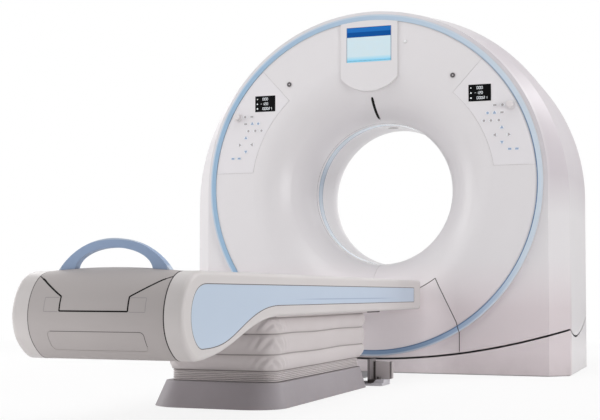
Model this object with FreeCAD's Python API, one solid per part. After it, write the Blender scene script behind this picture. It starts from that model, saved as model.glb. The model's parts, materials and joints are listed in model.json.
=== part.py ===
import FreeCAD, Part
import math
import os

# Computed tomography scanner: tilting gantry with a funnel-shaped bore, and a patient couch
# that lifts and feeds its cradle through the bore.
# Millimetres. Origin on the floor under the isocentre, X across, +Y from the couch through
# the bore, +Z up.

# ---------------------------------------------------------------- housing outline
iso_height = 963.0          # bore axis and tilt axis above the floor
face_arch_z = iso_height + 25.0         # centre of the front face's arch and of the trim ring
corner_arch_z = iso_height - 55.0       # centre of the arch along the sharp corner
crown_arch_z = iso_height - 8.0         # centre of the roof's arch
ring_outer = face_arch_z - 86.0         # the trim ring ends just over the split line
ring_inner = ring_outer - 30.0
face_half_width = ring_outer + 21.0     # flat front face, inside the canted band
half_width = face_half_width + 94.0     # side walls
rear_half_width = half_width - 60.0     # flat rear face
face_y = -360.0             # lower front face
corner_y = -259.0           # sharp corner between canted band and side wall
crown_y = 39.0              # the roof is level from here to the rear
rear_y = 650.0              # flat rear face
rear_band_y = rear_y - 90.0             # seam between arch cover and rear cover
skin = 6.0                  # moulded cover thickness

# ---------------------------------------------------------------- split line over the plinth
gap_width = 10.0
gap_centre_z = 72.0         # split line at the middle of the front
gap_rise = 162.0            # its rise out to the corner
side_gap = [(corner_y, gap_centre_z + gap_rise), (-73, 198), (20, 192), (212, 209),
            (434, 252), (rear_y - 69, 303), (rear_y + 50, 352)]
plinth_foot_z = 3.0

# ---------------------------------------------------------------- front face and bore
ring_front_y = face_y - 20.0
disc_y = face_y - 16.0      # flat disc inside the ring
disc_back_y = disc_y + skin
bore_radius = 390.0
funnel_radius = ring_inner - 222.0      # where the funnel meets the disc
throat_y = -79.0            # where the funnel meets the bore
window_y0 = -22.0           # scan window, the beam plane is y = 0
window_y1 = 58.0
window_wall = 4.0
bore_rear_y = 252.0
rear_funnel_radius = rear_half_width - 357.0
rear_funnel_land = 30.0     # flat ring round the rear funnel's mouth
cover_gap = 0.3             # panels in their pockets and discs in their rims
seam = 1.2                  # open seam round inset panels
service_groove = 1.6        # seam down the middle of the funnel's foot

# ---------------------------------------------------------------- lower centre panel
panel_top_z = iso_height - 583.0
panel_corner = (349.0, iso_height - 469.0)
panel_knee = (458.0, 271.0)
panel_side = (472.0, 223.0)

# ---------------------------------------------------------------- face instruments
bezel_top_z = face_arch_z + ring_inner
bezel_half_width = 155.0
bezel_foot_z = iso_height + bore_radius + 131.0
bezel_shoulder_z = bezel_foot_z + 72.0
bezel_front_y = disc_y - 8.0
screen_half_width = 122.0
screen_z0 = bezel_foot_z + 155.0
screen_z1 = bezel_top_z - 35.0
screen_depth = 3.0
console_radius = funnel_radius + 12.0   # inner arc of the control panels
console_top_angle = 47.8
console_foot_z = iso_height + 104.0
console_depth = 3.0
# (inset from the trim ring, angle above level), about the ring's centre
status_place = (130.27, 37.936)
estop_place = (35.6, 27.485)
lock_place = (160.78, 51.165)
lamp_place = (99.97, 75.369)
status_size = (116.0, 87.0)
status_depth = 1.5
# key places from the emergency stop's centre
key_offsets = [
    (-80, 2), (-41, 2), (-117, -37), (-82, -37), (-44, -37),
    (-136, -76), (-100, -76), (-60, -76), (-45, -114), (-80, -151),
    (-10, -151), (-45, -188), (-6, -225), (30, -225),
]
key_length = 26.0
key_width = 17.0
key_height = 1.6
estop_collar_radius = 22.0
estop_collar_height = 14.0
estop_head_radius = 18.0
estop_head_depth = 15.0
estop_stem_radius = 8.0
estop_travel = 5.0
lock_radius = 15.0
lamp_radius = 9.0
lamp_height = 6.0
slit_half_width = 5.0
slit_r0 = bore_radius + 10.0
slit_r1 = bore_radius + 102.0
ceiling_window_y = 151.0
ceiling_window_radius = 30.0

# ---------------------------------------------------------------- tilting frame and rotor
trunnion_radius = 60.0
trunnion_clearance = 0.3
cheek_x1 = half_width - 122.0
cheek_x0 = cheek_x1 - 27.0
cheek_half_height = 320.0
cheek_y0 = -140.0
frame_y0 = 185.0
frame_y1 = frame_y0 + 30.0
frame_radius = half_width - 167.0
arm_z = cheek_half_height - 20.0        # arms that carry the side covers, over the tilt axis
arm_height = 40.0
drum_bore = bore_radius + 15.0
bearing_inner = drum_bore + 20.0
bearing_split = bearing_inner + 27.0
bearing_outer = bearing_split + 48.0
bearing_y0 = frame_y0 + 5.0
bearing_y1 = frame_y1 + 25.0
race_clearance = 0.3
drum_radius = frame_radius - 10.0
drum_y0 = 120.0
drum_y1 = drum_y0 + 20.0
drum_hole_radius = 70.0
slip_inner = bearing_outer + 20.0
slip_outer = slip_inner + 120.0
slip_depth = 25.0
slip_track = 8.0
pulley_radius = drum_radius / 14        # the motor turns 14 times for one turn of the drum
pulley_span = drum_radius + pulley_radius + 116.711     # between the two axes
pulley_angle = 39.0117      # below level
motor_radius = 75.0
motor_length = 190.0
shaft_radius = 20.0
belt_thickness = 5.0
belt_clearance = 0.3
tube_radius = 95.0
tube_height = drum_radius - 140.0
tube_y0 = -190.0
collimator_half = 110.0
focus_height = tube_height - 100.0
generator_size = (240.0, 300.0)         # across, up
generator_y0 = -160.0
detector_radius = focus_height + 460.0  # from the focus
detector_depth = 70.0
detector_y0 = -60.0
detector_angle = 25.0

# ---------------------------------------------------------------- pedestals and floor plate
pedestal_x0 = cheek_x1 + 10.0
pedestal_x1 = half_width - 27.0
pedestal_head = 120.0
pedestal_foot = (200.0, rear_y - 65.0)  # front and rear of the foot
tie_plate = 4.0
rail_height = 40.0
foot_flange = 45.0
foot_plate = 18.0
plinth_block = 400.0        # higher than the split line anywhere

# ---------------------------------------------------------------- couch
rail_outer = 281.0          # outer face of the couch side panels
rail_inner = rail_outer - 58.0          # their inner face, the seam of the end cover
rail_top = 481.0
rail_foot = rail_top - 147.0
couch_front_y = -405.0
couch_cap_y = couch_front_y - 20.0
couch_end_y = -3290.0       # rear end of the frame, where the end cover starts
nose_radius = 18.0          # front corners of the side panels
panel_round = 13.0
# side view of the rear end: (from couch_end_y, from rail_top)
end_curve = [(-95, -18), (-152, -77), (-167, -139), (-150, -198), (-105, -244)]
end_low = (-45, -268)
sweep_curve = [(60, -261), (177, -242), (344, -199), (525, -160)]
sweep_start = 722.0         # the underside starts to drop here
end_bulge = 12.0
end_crown = 11.0            # crown of the end cover over the rail
end_skin = 5.0
end_clearance = 1.5
socket_panel = (159.0, -238.0, -180.0)  # engraved panel: half width, foot and top from rail_top
inlay_depth = 3.0
inlay_top = -38.0           # from rail_top
inlay_foot = -110.0
inlay_front_y = couch_front_y - 151.0
inlay_low = (-15, -234)     # these as end_curve is
inlay_end_curve = [(-58, -55), (-91, -89), (-103, -136), (-84, -194)]
inlay_sweep_curve = [(85, -231), (176, -218), (344, -166), (525, -121)]
inlay_sweep_start = 681.0

# cradle and the channel it runs in; heights from rail_top
cradle_half_width = rail_inner - 8.0
cradle_dip = -28.0          # middle of the dished top
cradle_edge = -22.0         # underside at the edge
cradle_knee = (120.0, -64.0)
cradle_floor = (100.0, -69.0)
cradle_tip_y = couch_front_y - 295.0
cradle_tip_length = 60.0
cradle_tail_y = couch_end_y - 20.0
step_half_width = 112.0     # stepped split between tail cap and end cover
step_foot = -121.0
step_knee = -78.0
step_wing = (195.0, -29.0)
step_edge = -18.0
split_gap = 1.5
channel_clearance = 4.5
channel_wall = 8.0
handle_outer = (187.0, 99.0)    # half width and height over rail_top
handle_inner = (131.0, 70.0)
handle_y = cradle_tail_y - 10.0
handle_thickness = 30.0
carriage_length = 390.0
wheel_radius = 14.0
glide_length = 150.0
drive_y = couch_end_y + 90.0
drive_radius = 42.0

# couch base, bellows and lift; outlines are (half width, rear, front)
base_height = 90.0
base_foot = (255.0, -2580.0, -1270.0)    # at the floor
base_head = (228.0, -2510.0, -1305.0)    # at the top
base_corner = 130.0
base_head_corner = 90.0
base_wall = 4.0
base_plate = 12.0
plate_inset = 18.0
rib_height = 60.0
bellows_foot = (205.0, -2455.0, -1315.0)
bellows_corner = 48.0
bellows_bulge = 20.0
bellows_wall = 14.0
bellows_top = rail_foot - 8.0
bellows_flare = 70.0        # the folds reach further forward than the pleats
pleat_top = 130.0
pleat_count = 6
pleat_depth = 5.0
fold_creases = [pleat_top, 190.0, 265.0, bellows_top]
fold_crease_offset = 6.0
fold_steps = 6
column_ys = [-2180.0, -1600.0]
column_size = 160.0
column_wall = 6.0
column_clearance = 0.4
column_height = rail_foot - 28.0
column_step = 8.0
bracket_y = (-1200.0, -1135.0)
bracket_x = (229.5, 318.0)
link_half_width = 90.0
bracket_tongue_x = link_half_width + 5

V = FreeCAD.Vector
x_axis = V(1, 0, 0)
y_axis = V(0, 1, 0)
z_axis = V(0, 0, 1)
# cutting blocks reach past the housing by these
far = half_width + 83.0
high = iso_height + far
before = face_y - 60.0
behind = rear_y + 100.0
below = -50.0


# ---------------------------------------------------------------- shape helpers
def box(x0, x1, y0, y1, z0, z1):
    return Part.makeBox(x1 - x0, y1 - y0, z1 - z0, V(x0, y0, z0))


def rod(radius, y0, y1, x=0.0, z=iso_height):
    return Part.makeCylinder(radius, y1 - y0, V(x, y0, z), y_axis)


def tube(outer, inner, y0, y1, x=0.0, z=iso_height):
    return rod(outer, y0, y1, x, z).cut(rod(inner, y0, y1, x, z))


def line(a, b):
    return Part.makeLine(a, b)


def spline(points, start=None, end=None):
    curve = Part.BSplineCurve()
    if start is None:
        curve.interpolate(points)
    else:
        curve.interpolate(Points=points, InitialTangent=start, FinalTangent=end, Scale=False)
    return curve.toShape()


def arc(a, b, c):
    return Part.Arc(a, b, c).toShape()


def solid_of(edges, sweep):
    return Part.Face(Part.Wire(edges)).extrude(sweep)


def prism_y(points, y0, y1):
    # points are (x, z)
    corners = [V(x, y0, z) for x, z in points]
    return Part.Face(Part.makePolygon(corners + corners[:1])).extrude(V(0, y1 - y0, 0))


def prism_x(points, x0, x1):
    # points are (y, z)
    corners = [V(x0, y, z) for y, z in points]
    return Part.Face(Part.makePolygon(corners + corners[:1])).extrude(V(x1 - x0, 0, 0))


def turned(edges):
    # profile in the plane z = iso_height with x as radius, turned about the bore axis
    outline = Part.sortEdges(edges)[0]
    return Part.Face(Part.Wire(outline)).revolve(V(0, 0, iso_height), y_axis, 360)


def both_sides(shape):
    return [shape, shape.mirror(V(0, 0, 0), x_axis)]


def merged(shapes):
    result = shapes[0]
    for shape in shapes[1:]:
        result = result.fuse(shape)
    return result.removeSplitter()


def save(name, shape):
    shape.exportStep(os.path.join("parts", name + ".step"))


def save_solids(name, solids):
    Part.makeCompound(solids).exportStep(os.path.join("parts", name + ".step"))


# ---------------------------------------------------------------- housing shells
def arch_wire(width, centre_z, y):
    left_foot = V(-width, y, below)
    right_foot = V(width, y, below)
    right = V(width, y, centre_z)
    left = V(-width, y, centre_z)
    return Part.Wire([
        line(left_foot, right_foot),
        line(right_foot, right),
        arc(right, V(0, y, centre_z + width), left),
        line(left, left_foot),
    ])


def housing_solid(inset):
    sections = [
        arch_wire(face_half_width - inset, face_arch_z, face_y),
        arch_wire(half_width - inset, corner_arch_z, corner_y),
        arch_wire(half_width - inset, crown_arch_z, crown_y),
        arch_wire(half_width - inset, crown_arch_z, rear_band_y),
        arch_wire(rear_half_width - inset, crown_arch_z, rear_y),
    ]
    return Part.makeLoft(sections, True, True)


def slab(y0, y1):
    return box(-far, far, y0, y1, below, high)


def front_gap_z(x):
    return gap_centre_z + gap_rise * (x / half_width) ** 2


def below_front_gap(shift):
    xs = [-far + far * i / 5 for i in range(11)]
    top = [V(x, before, front_gap_z(x) + shift) for x in xs]
    a = V(-far, before, below)
    b = V(far, before, below)
    edges = [spline(top), line(top[-1], b), line(b, a), line(a, top[0])]
    return solid_of(edges, V(0, corner_y - before, 0))


def below_side_gap(shift):
    top = [V(-far, y, z + shift) for y, z in side_gap]
    a = V(-far, side_gap[0][0], below)
    b = V(-far, side_gap[-1][0], below)
    edges = [spline(top), line(top[-1], b), line(b, a), line(a, top[0])]
    return solid_of(edges, V(2 * far, 0, 0))


def above_gap(shift):
    block = box(-far, far, before, side_gap[-1][0], 0, plinth_block + 100)
    return block.cut(below_front_gap(shift)).cut(below_side_gap(shift))


def funnel_edge(r_centre, r_reach, y_centre, y_reach):
    # quarter oval of two arcs from the mouth (at r_centre) to the throat (r_centre - r_reach)
    points = []
    for i in range(5):
        t = math.radians(90 - 22.5 * i)
        r = r_centre - r_reach * math.cos(t)
        points.append(V(r, y_centre + y_reach * math.sin(t), iso_height))
    return [arc(*points[:3]), arc(*points[2:])], points[0], points[-1]


def front_funnel_edges(depth):
    reach_r = funnel_radius - bore_radius - depth
    reach_y = throat_y - disc_y - depth
    return funnel_edge(funnel_radius, reach_r, throat_y, -reach_y)


def front_disc_solid(depth):
    # cover skin of the given depth: disc, funnel and the throat up to the scan window
    outer, mouth, throat = front_funnel_edges(0)
    inner, inner_mouth, inner_throat = front_funnel_edges(depth)
    rim = V(ring_outer, disc_y, iso_height)
    rim_back = V(ring_outer, disc_y + depth, iso_height)
    lip = V(bore_radius, window_y0, iso_height)
    lip_back = V(bore_radius + depth, window_y0, iso_height)
    return turned(outer + inner + [
        line(throat, lip), line(lip, lip_back), line(lip_back, inner_throat),
        line(inner_mouth, rim_back), line(rim_back, rim), line(rim, mouth),
    ])


def behind_front_face():
    outer, mouth, throat = front_funnel_edges(0)
    a = V(bore_radius, 0, iso_height)
    b = V(ring_outer, 0, iso_height)
    c = V(ring_outer, disc_y, iso_height)
    return turned(outer + [line(throat, a), line(a, b), line(b, c), line(c, mouth)])


def panel_prism(inset):
    cx, cz = panel_corner
    kx, kz = panel_knee
    sx, sz = panel_side
    a = V(-cx + inset, before, cz - inset)
    b = V(cx - inset, before, cz - inset)
    top = V(0, before, panel_top_z - inset)
    right = [V(kx - inset, before, kz), V(sx - inset, before, sz), V(sx - inset, before, below)]
    left = [V(-p.x, before, p.z) for p in reversed(right)]
    chain = [b] + right + left + [a]
    edges = [arc(a, top, b)] + [line(p, q) for p, q in zip(chain, chain[1:])]
    return solid_of(edges, V(0, (corner_y - before) * 0.8, 0))


def console_prism(inset, y0, y1):
    angle = math.radians(console_top_angle)
    direction = V(math.cos(angle), 0, math.sin(angle))
    normal = V(math.sin(angle), 0, -math.cos(angle))
    start = V(0, y0, iso_height) + normal * inset
    foot_z = console_foot_z + inset
    t = (foot_z - start.z) / direction.z
    near = start + direction * t
    out = start + direction * far
    wedge = prism_y([(near.x, foot_z), (out.x, out.z), (far, out.z), (far, foot_z)], y0, y1)
    rim = rod(ring_inner - cover_gap - inset, y0, y1, 0, face_arch_z)
    return wedge.common(rim).cut(rod(console_radius + inset, y0, y1))


def surround_skin():
    outer = housing_solid(0).common(slab(face_y, corner_y))
    inner = housing_solid(skin).common(slab(face_y + skin, corner_y))
    flange = tube(ring_outer, ring_inner - 10, disc_back_y, face_y, 0, face_arch_z)
    shell = outer.cut(inner).fuse(flange)
    shell = shell.cut(rod(ring_inner - 10, before, face_y + skin, 0, face_arch_z))
    return shell.cut(below_front_gap(gap_width / 2))


# ---------------------------------------------------------------- gantry covers
def make_front_cover(slit):
    disc = front_disc_solid(skin)
    rim = rod(ring_inner - cover_gap, before, 0, 0, face_arch_z)
    cover = disc.common(rim).cut(panel_prism(0))
    for pocket in both_sides(console_prism(0, disc_y - 1, disc_y + console_depth)):
        cover = cover.cut(pocket)
    half = service_groove / 2
    reach = box(-half, half, face_y, throat_y - 6, iso_height - funnel_radius,
                iso_height - bore_radius - 5)
    return cover.cut(front_disc_solid(2).common(reach)).cut(slit)


def make_slit():
    reach = box(-slit_half_width, slit_half_width, before, 0,
                iso_height + slit_r0, iso_height + slit_r1)
    return front_disc_solid(3).common(reach)


def make_lower_panel():
    rim = rod(ring_inner - cover_gap, before, 0, 0, face_arch_z)
    body = front_disc_solid(skin).common(rim).fuse(surround_skin())
    return body.common(panel_prism(seam)).removeSplitter()


def make_front_surround():
    return surround_skin().cut(panel_prism(0)).removeSplitter()


def make_arch_cover():
    shell = housing_solid(0).cut(housing_solid(skin)).common(slab(corner_y, rear_band_y))
    return shell.cut(below_side_gap(gap_width / 2))


def make_rear_cover():
    outer = housing_solid(0).common(slab(rear_band_y, rear_y))
    inner = housing_solid(skin).common(slab(rear_band_y, rear_y - skin))
    mouth_land = rear_funnel_radius + rear_funnel_land
    shell = outer.cut(inner).cut(rod(mouth_land, rear_band_y, behind))
    reach_r = rear_funnel_radius - bore_radius
    reach_y = rear_y - bore_rear_y
    front, mouth, throat = funnel_edge(rear_funnel_radius, reach_r, bore_rear_y, reach_y)
    back, back_mouth, back_throat = funnel_edge(
        rear_funnel_radius, reach_r - skin, bore_rear_y, reach_y - skin)
    lip = V(mouth_land, rear_y, iso_height)
    lip_back = V(mouth_land, rear_y - skin, iso_height)
    funnel = turned(front + back + [
        line(throat, back_throat),
        line(back_mouth, lip_back), line(lip_back, lip), line(lip, mouth),
    ])
    return shell.fuse(funnel).cut(below_side_gap(gap_width / 2)).removeSplitter()


def make_ceiling_window():
    reach = Part.makeCylinder(ceiling_window_radius, bore_radius + 2 * skin,
                              V(0, ceiling_window_y, iso_height))
    return tube(bore_radius + skin, bore_radius, window_y1, bore_rear_y).common(reach)


def make_bore_liner(window):
    return tube(bore_radius + skin, bore_radius, window_y1, bore_rear_y).cut(window)


def make_display_bezel():
    shoulder = bezel_shoulder_z
    w = bezel_half_width
    a = V(-w, bezel_front_y, shoulder)
    b = V(w, bezel_front_y, shoulder)
    c = V(w, bezel_front_y, bezel_top_z + skin)
    d = V(-w, bezel_front_y, bezel_top_z + skin)
    foot = arc(a, V(0, bezel_front_y, bezel_foot_z), b)
    body = solid_of([foot, line(b, c), line(c, d), line(d, a)], V(0, 100, 0))
    body = body.common(rod(ring_inner - cover_gap, before, 0, 0, face_arch_z))
    body = body.cut(behind_front_face())
    pocket = box(-screen_half_width, screen_half_width, bezel_front_y - 1,
                 bezel_front_y + screen_depth, screen_z0, screen_z1)
    return body.cut(pocket)


def make_display_screen():
    return box(-screen_half_width + cover_gap, screen_half_width - cover_gap,
               bezel_front_y - 0.5, bezel_front_y + screen_depth,
               screen_z0 + cover_gap, screen_z1 - cover_gap)


def on_face(place):
    inset, angle = place
    radius = ring_inner - inset
    turn = math.radians(angle)
    return radius * math.cos(turn), face_arch_z + radius * math.sin(turn)


def status_box(inset, y0, y1):
    x, z = on_face(status_place)
    w, h = status_size
    return box(x - w / 2 + inset, x + w / 2 - inset, y0, y1, z - h / 2 + inset, z + h / 2 - inset)


def make_control_panel():
    plate = console_prism(seam, disc_y, disc_y + console_depth)
    return plate.cut(status_box(0, disc_y - 1, disc_y + status_depth))


def make_status_display():
    return status_box(cover_gap, disc_y - 1, disc_y + status_depth)


def make_key(x, z):
    half = (key_length - key_width) / 2
    y0 = disc_y - key_height
    bar = box(x - half, x + half, y0, disc_y, z - key_width / 2, z + key_width / 2)
    ends = [rod(key_width / 2, y0, disc_y, x + side * half, z) for side in (-1, 1)]
    return merged([bar] + ends)


def make_key_pads():
    x, z = on_face(estop_place)
    keys = []
    for dx, dz in key_offsets:
        keys += both_sides(make_key(x + dx, z + dz))
    return keys


def make_estop_collar():
    x, z = on_face(estop_place)
    y0 = disc_y - estop_collar_height
    collar = rod(estop_collar_radius, y0, disc_y, x, z)
    rim = [edge for edge in collar.Edges if abs(edge.CenterOfMass.y - y0) < 0.1]
    return collar.makeFillet(3, rim).cut(rod(estop_stem_radius + cover_gap, y0, disc_y, x, z))


def make_estop_button():
    x, z = on_face(estop_place)
    back = disc_y - estop_collar_height - estop_travel - 3
    front = back - estop_head_depth
    head = rod(estop_head_radius, front, back, x, z)
    rim = [edge for edge in head.Edges if abs(edge.CenterOfMass.y - front) < 0.1]
    stem = rod(estop_stem_radius, back, disc_y - estop_travel - 2, x, z)
    return merged([head.makeFillet(6, rim), stem])


def make_cover_lock():
    x, z = on_face(lock_place)
    knob = tube(lock_radius, lock_radius - 3, disc_y - 3, disc_y, x, z)
    knob = merged([knob, rod(lock_radius - 5, disc_y - 4, disc_y, x, z),
                   rod(lock_radius - 1, disc_y - 1, disc_y, x, z)])
    return knob.cut(box(x - 7, x + 7, disc_y - 5, disc_y - 2.5, z - 1.5, z + 1.5))


def make_indicator_lamp():
    x, z = on_face(lamp_place)
    front = disc_y - lamp_height
    lens = rod(lamp_radius, front, disc_y, x, z)
    rim = [edge for edge in lens.Edges if abs(edge.CenterOfMass.y - front) < 0.1]
    return lens.makeFillet(4, rim)


# ---------------------------------------------------------------- tilting frame
def pulley_centre():
    turn = math.radians(pulley_angle)
    return -pulley_span * math.cos(turn), -pulley_span * math.sin(turn)


def make_ring_frame():
    plate = rod(frame_radius, frame_y0, frame_y1)
    wings = box(-cheek_x1, cheek_x1, frame_y0, frame_y1,
                iso_height - cheek_half_height, iso_height + cheek_half_height)
    px, pz = pulley_centre()
    ear = box(px - 80, px + 150, frame_y0, frame_y1,
              iso_height + pz - 80, iso_height + pz + 140)
    arm = box(cheek_x0 - 60, half_width, frame_y0, frame_y1,
              iso_height + arm_z, iso_height + arm_z + arm_height)
    arms = [a.common(housing_solid(skin)) for a in both_sides(arm)]
    cheek = box(cheek_x0, cheek_x1, cheek_y0, frame_y1,
                iso_height - cheek_half_height, iso_height + cheek_half_height)
    pin = Part.makeCylinder(trunnion_radius, pedestal_x1 - cheek_x1,
                            V(cheek_x1, 0, iso_height), x_axis)
    sides = both_sides(cheek) + both_sides(pin)
    body = merged([plate, wings, ear] + arms + sides)
    body = body.cut(rod(bearing_outer, frame_y0 - 1, frame_y1 + 1))
    return body.cut(rod(shaft_radius + 2, frame_y0 - 1, frame_y1 + 1, px, iso_height + pz))


def make_bearing_outer():
    return tube(bearing_outer, bearing_split + race_clearance, bearing_y0, bearing_y1)


def make_drive_motor():
    px, pz = pulley_centre()
    z = iso_height + pz
    case = rod(motor_radius, frame_y1, frame_y1 + motor_length, px, z)
    flange = rod(motor_radius + 5, frame_y1, frame_y1 + 12, px, z)
    fins = []
    for i in range(12):
        fin = box(px - 3, px + 3, frame_y1 + 20, frame_y1 + motor_length - 10,
                  z + motor_radius - 5, z + motor_radius + 9)
        fin.rotate(V(px, 0, z), y_axis, 30 * i)
        fins.append(fin)
    return merged([case, flange] + fins)


def make_motor_pulley():
    px, pz = pulley_centre()
    z = iso_height + pz
    wheel = rod(pulley_radius, drum_y0 - 4, drum_y1 + 4, px, z)
    shaft = rod(shaft_radius, drum_y1 + 4, frame_y1 - 0.5, px, z)
    return merged([wheel, shaft])


def make_drive_belt():
    # open belt round the drum's rim and the motor pulley
    px, pz = pulley_centre()
    span = math.hypot(px, pz)
    heading = math.atan2(pz, px)

    def hull(extra):
        big = drum_radius + belt_clearance + extra
        small = pulley_radius + belt_clearance + extra
        lean = math.acos((big - small) / span)
        ends = []
        for side in (1, -1):
            a = heading + side * lean
            c = math.cos(a)
            s = math.sin(a)
            ends.append((V(big * c, drum_y0, iso_height + big * s),
                         V(px + small * c, drum_y0, iso_height + pz + small * s)))
        far_side = V(-big * math.cos(heading), drum_y0, iso_height - big * math.sin(heading))
        near_side = V(px + small * math.cos(heading), drum_y0,
                      iso_height + pz + small * math.sin(heading))
        edges = [
            arc(ends[0][0], far_side, ends[1][0]), line(ends[1][0], ends[1][1]),
            arc(ends[1][1], near_side, ends[0][1]), line(ends[0][1], ends[0][0]),
        ]
        return solid_of(edges, V(0, drum_y1 - drum_y0, 0))

    return hull(belt_thickness).cut(hull(0))


# ---------------------------------------------------------------- rotor
def make_rotor_drum():
    plate = tube(drum_radius, drum_bore, drum_y0, drum_y1)
    reach = drum_radius - drum_hole_radius - 40
    for i in range(8):
        a = math.radians(22.5 + 45 * i)
        x = reach * math.cos(a)
        z = iso_height + reach * math.sin(a)
        plate = plate.cut(rod(drum_hole_radius, drum_y0, drum_y1, x, z))
    hub = tube(bearing_inner, drum_bore, drum_y1, bearing_y1)
    return merged([plate, hub])


def make_bearing_inner():
    return tube(bearing_split, bearing_inner, bearing_y0, bearing_y1)


def make_slip_ring():
    back = drum_y1 + slip_depth
    ring = tube(slip_outer, slip_inner, drum_y1, back)
    for i in range(1, 6):
        r = slip_inner + (slip_outer - slip_inner) * i / 6
        ring = ring.cut(tube(r + slip_track / 2, r - slip_track / 2, back - 3, back))
    return ring


def make_xray_tube():
    z = iso_height + tube_height
    case = rod(tube_radius, tube_y0, drum_y0, 0, z)
    cap = rod(tube_radius - 20, tube_y0 - 30, tube_y0, 0, z)
    cooler = box(-150, 150, drum_y0 - 110, drum_y0, z + tube_radius - 25, z + tube_radius + 35)
    return merged([case, cap, cooler])


def make_tube_collimator(xray_tube):
    z = iso_height + tube_height - tube_radius
    half = collimator_half
    body = box(-half, half, -half / 2, half / 2, z - 60, z + 30)
    slot = box(30 - half, half - 30, -20, 20, z - 61, z + 31)
    return body.cut(slot).cut(xray_tube)


def make_hv_generators():
    width, height = generator_size
    outside = drum_radius - 40
    return both_sides(box(outside - width, outside, generator_y0, drum_y0,
                          iso_height - height / 2, iso_height + height / 2))


def make_detector_arc():
    focus_z = iso_height + focus_height
    outer = detector_radius + detector_depth
    ring = tube(outer, detector_radius, detector_y0, drum_y0, 0, focus_z)
    depth = 1.2 * outer
    reach = depth * math.tan(math.radians(detector_angle))
    corners = [(0, focus_z), (reach, focus_z - depth), (-reach, focus_z - depth)]
    return ring.common(prism_y(corners, detector_y0, drum_y0))


# ---------------------------------------------------------------- plinth and pedestals
def plinth_outline(inset):
    corners = [
        (-face_half_width, face_y), (face_half_width, face_y),
        (half_width, corner_y), (half_width, rear_band_y),
        (rear_half_width, rear_y), (-rear_half_width, rear_y),
        (-half_width, rear_band_y), (-half_width, corner_y),
    ]
    points = [V(x, y, 0) for x, y in corners]
    wire = Part.makePolygon(points + points[:1])
    return wire if inset == 0 else wire.makeOffset2D(-inset, 2)


def plinth_shell():
    outer = Part.Face(plinth_outline(0)).extrude(V(0, 0, plinth_block))
    inner = Part.Face(plinth_outline(skin)).extrude(V(0, 0, plinth_block))
    shell = outer.cut(inner).cut(above_gap(-gap_width / 2))
    half = link_half_width + 1
    notch = box(-half, half, face_y - 20, face_y + 20, below, tie_plate + 1)
    return shell.cut(box(-far, far, before, behind, below, plinth_foot_z)).cut(notch)


def make_base_frame():
    plate = Part.Face(plinth_outline(skin)).extrude(V(0, 0, tie_plate))
    front, rear = pedestal_foot
    rails = both_sides(box(pedestal_x0 - foot_flange, pedestal_x1, front - 50, rear,
                           tie_plate, rail_height))
    return merged([plate] + rails)


def make_pedestal():
    head = Part.makeCylinder(pedestal_head, pedestal_x1 - pedestal_x0,
                             V(pedestal_x0, 0, iso_height), x_axis)
    front, rear = pedestal_foot
    leg = prism_x([(-95, iso_height - 68), (front + 30, rail_height), (rear - 15, rail_height),
                   (112, iso_height - 38)], pedestal_x0, pedestal_x1)
    foot = box(pedestal_x0 - foot_flange, pedestal_x1, front, rear,
               rail_height, rail_height + foot_plate)
    top_z = iso_height - 163
    foot_z = rail_height + 90
    pocket = prism_x([(45, top_z), (front + 55, foot_z), (rear - 175, foot_z), (110, top_z)],
                     pedestal_x0 + 30, pedestal_x1 + 1)
    seat = Part.makeCylinder(trunnion_radius + trunnion_clearance, 200,
                             V(pedestal_x0 - 10, 0, iso_height), x_axis)
    return merged([head, leg, foot]).cut(pocket).cut(seat)


# ---------------------------------------------------------------- couch frame
def couch_points(x, places):
    # places are (from couch_end_y, from rail_top)
    return [V(x, couch_end_y + dy, rail_top + dz) for dy, dz in places]


def sweep_edge(x):
    # lower edge of the side panels, from the low rear end up to the level underside
    sweep = V(x, couch_end_y + sweep_start, rail_foot)
    under = couch_points(x, [end_low] + sweep_curve) + [sweep]
    return spline(under, V(0, 1, 0), V(0, 1, 0)), under[0], sweep


def couch_outline(x):
    # side view of the couch: rail, rounded rear end and the drop in front of it
    r = nose_radius
    k = r * (1 - math.sqrt(0.5))
    front = V(x, couch_front_y, rail_foot + r)
    top_front = V(x, couch_front_y, rail_top - r)
    corner = V(x, couch_front_y - r, rail_top)
    foot = V(x, couch_front_y - r, rail_foot)
    back = couch_points(x, [(-10, 0)] + end_curve + [end_low])
    under, low, sweep = sweep_edge(x)
    return [
        line(front, top_front),
        arc(top_front, V(x, couch_front_y - k, rail_top - k), corner),
        line(corner, back[0]),
        spline(back, V(0, -1, 0), V(0, 1, 0)),
        under,
        line(sweep, foot),
        arc(foot, V(x, couch_front_y - k, rail_foot + k), front),
    ]


def inlay_outline(x, inset):
    # the inset draws the outline in on all sides
    front_y = inlay_front_y - inset
    top = rail_top + inlay_top - inset
    foot = rail_top + inlay_foot + inset
    middle_y = couch_end_y + inlay_low[0]
    middle_z = rail_top + inlay_end_curve[2][1]
    rear_top = V(x, couch_end_y + 20, top)
    low, *under = couch_points(x, [inlay_low] + inlay_sweep_curve)
    up = V(0, 0, inset)
    sweep = V(x, couch_end_y + inlay_sweep_start, foot)
    end = []
    for point in couch_points(x, inlay_end_curve):
        out = V(0, point.y - middle_y, point.z - middle_z).normalize()
        end.append(point - out * inset)
    front_foot = V(x, front_y, foot)
    front_top = V(x, front_y, top)
    return Part.Wire([
        line(front_top, rear_top),
        spline([rear_top] + end + [low + up], V(0, -1, 0), V(0, 1, 0)),
        spline([low + up] + [point + up for point in under] + [sweep], V(0, 1, 0), V(0, 1, 0)),
        line(sweep, front_foot),
        line(front_foot, front_top),
    ])


def make_side_panel():
    body = solid_of(couch_outline(rail_inner), V(rail_outer - rail_inner, 0, 0))
    rim = [edge for edge in body.Edges if abs(edge.BoundBox.XMin - rail_outer) < 0.01]
    body = body.makeFillet(panel_round, rim)
    pocket = Part.Face(inlay_outline(rail_outer - inlay_depth, 0)).extrude(V(20, 0, 0))
    return body.cut(pocket)


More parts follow.
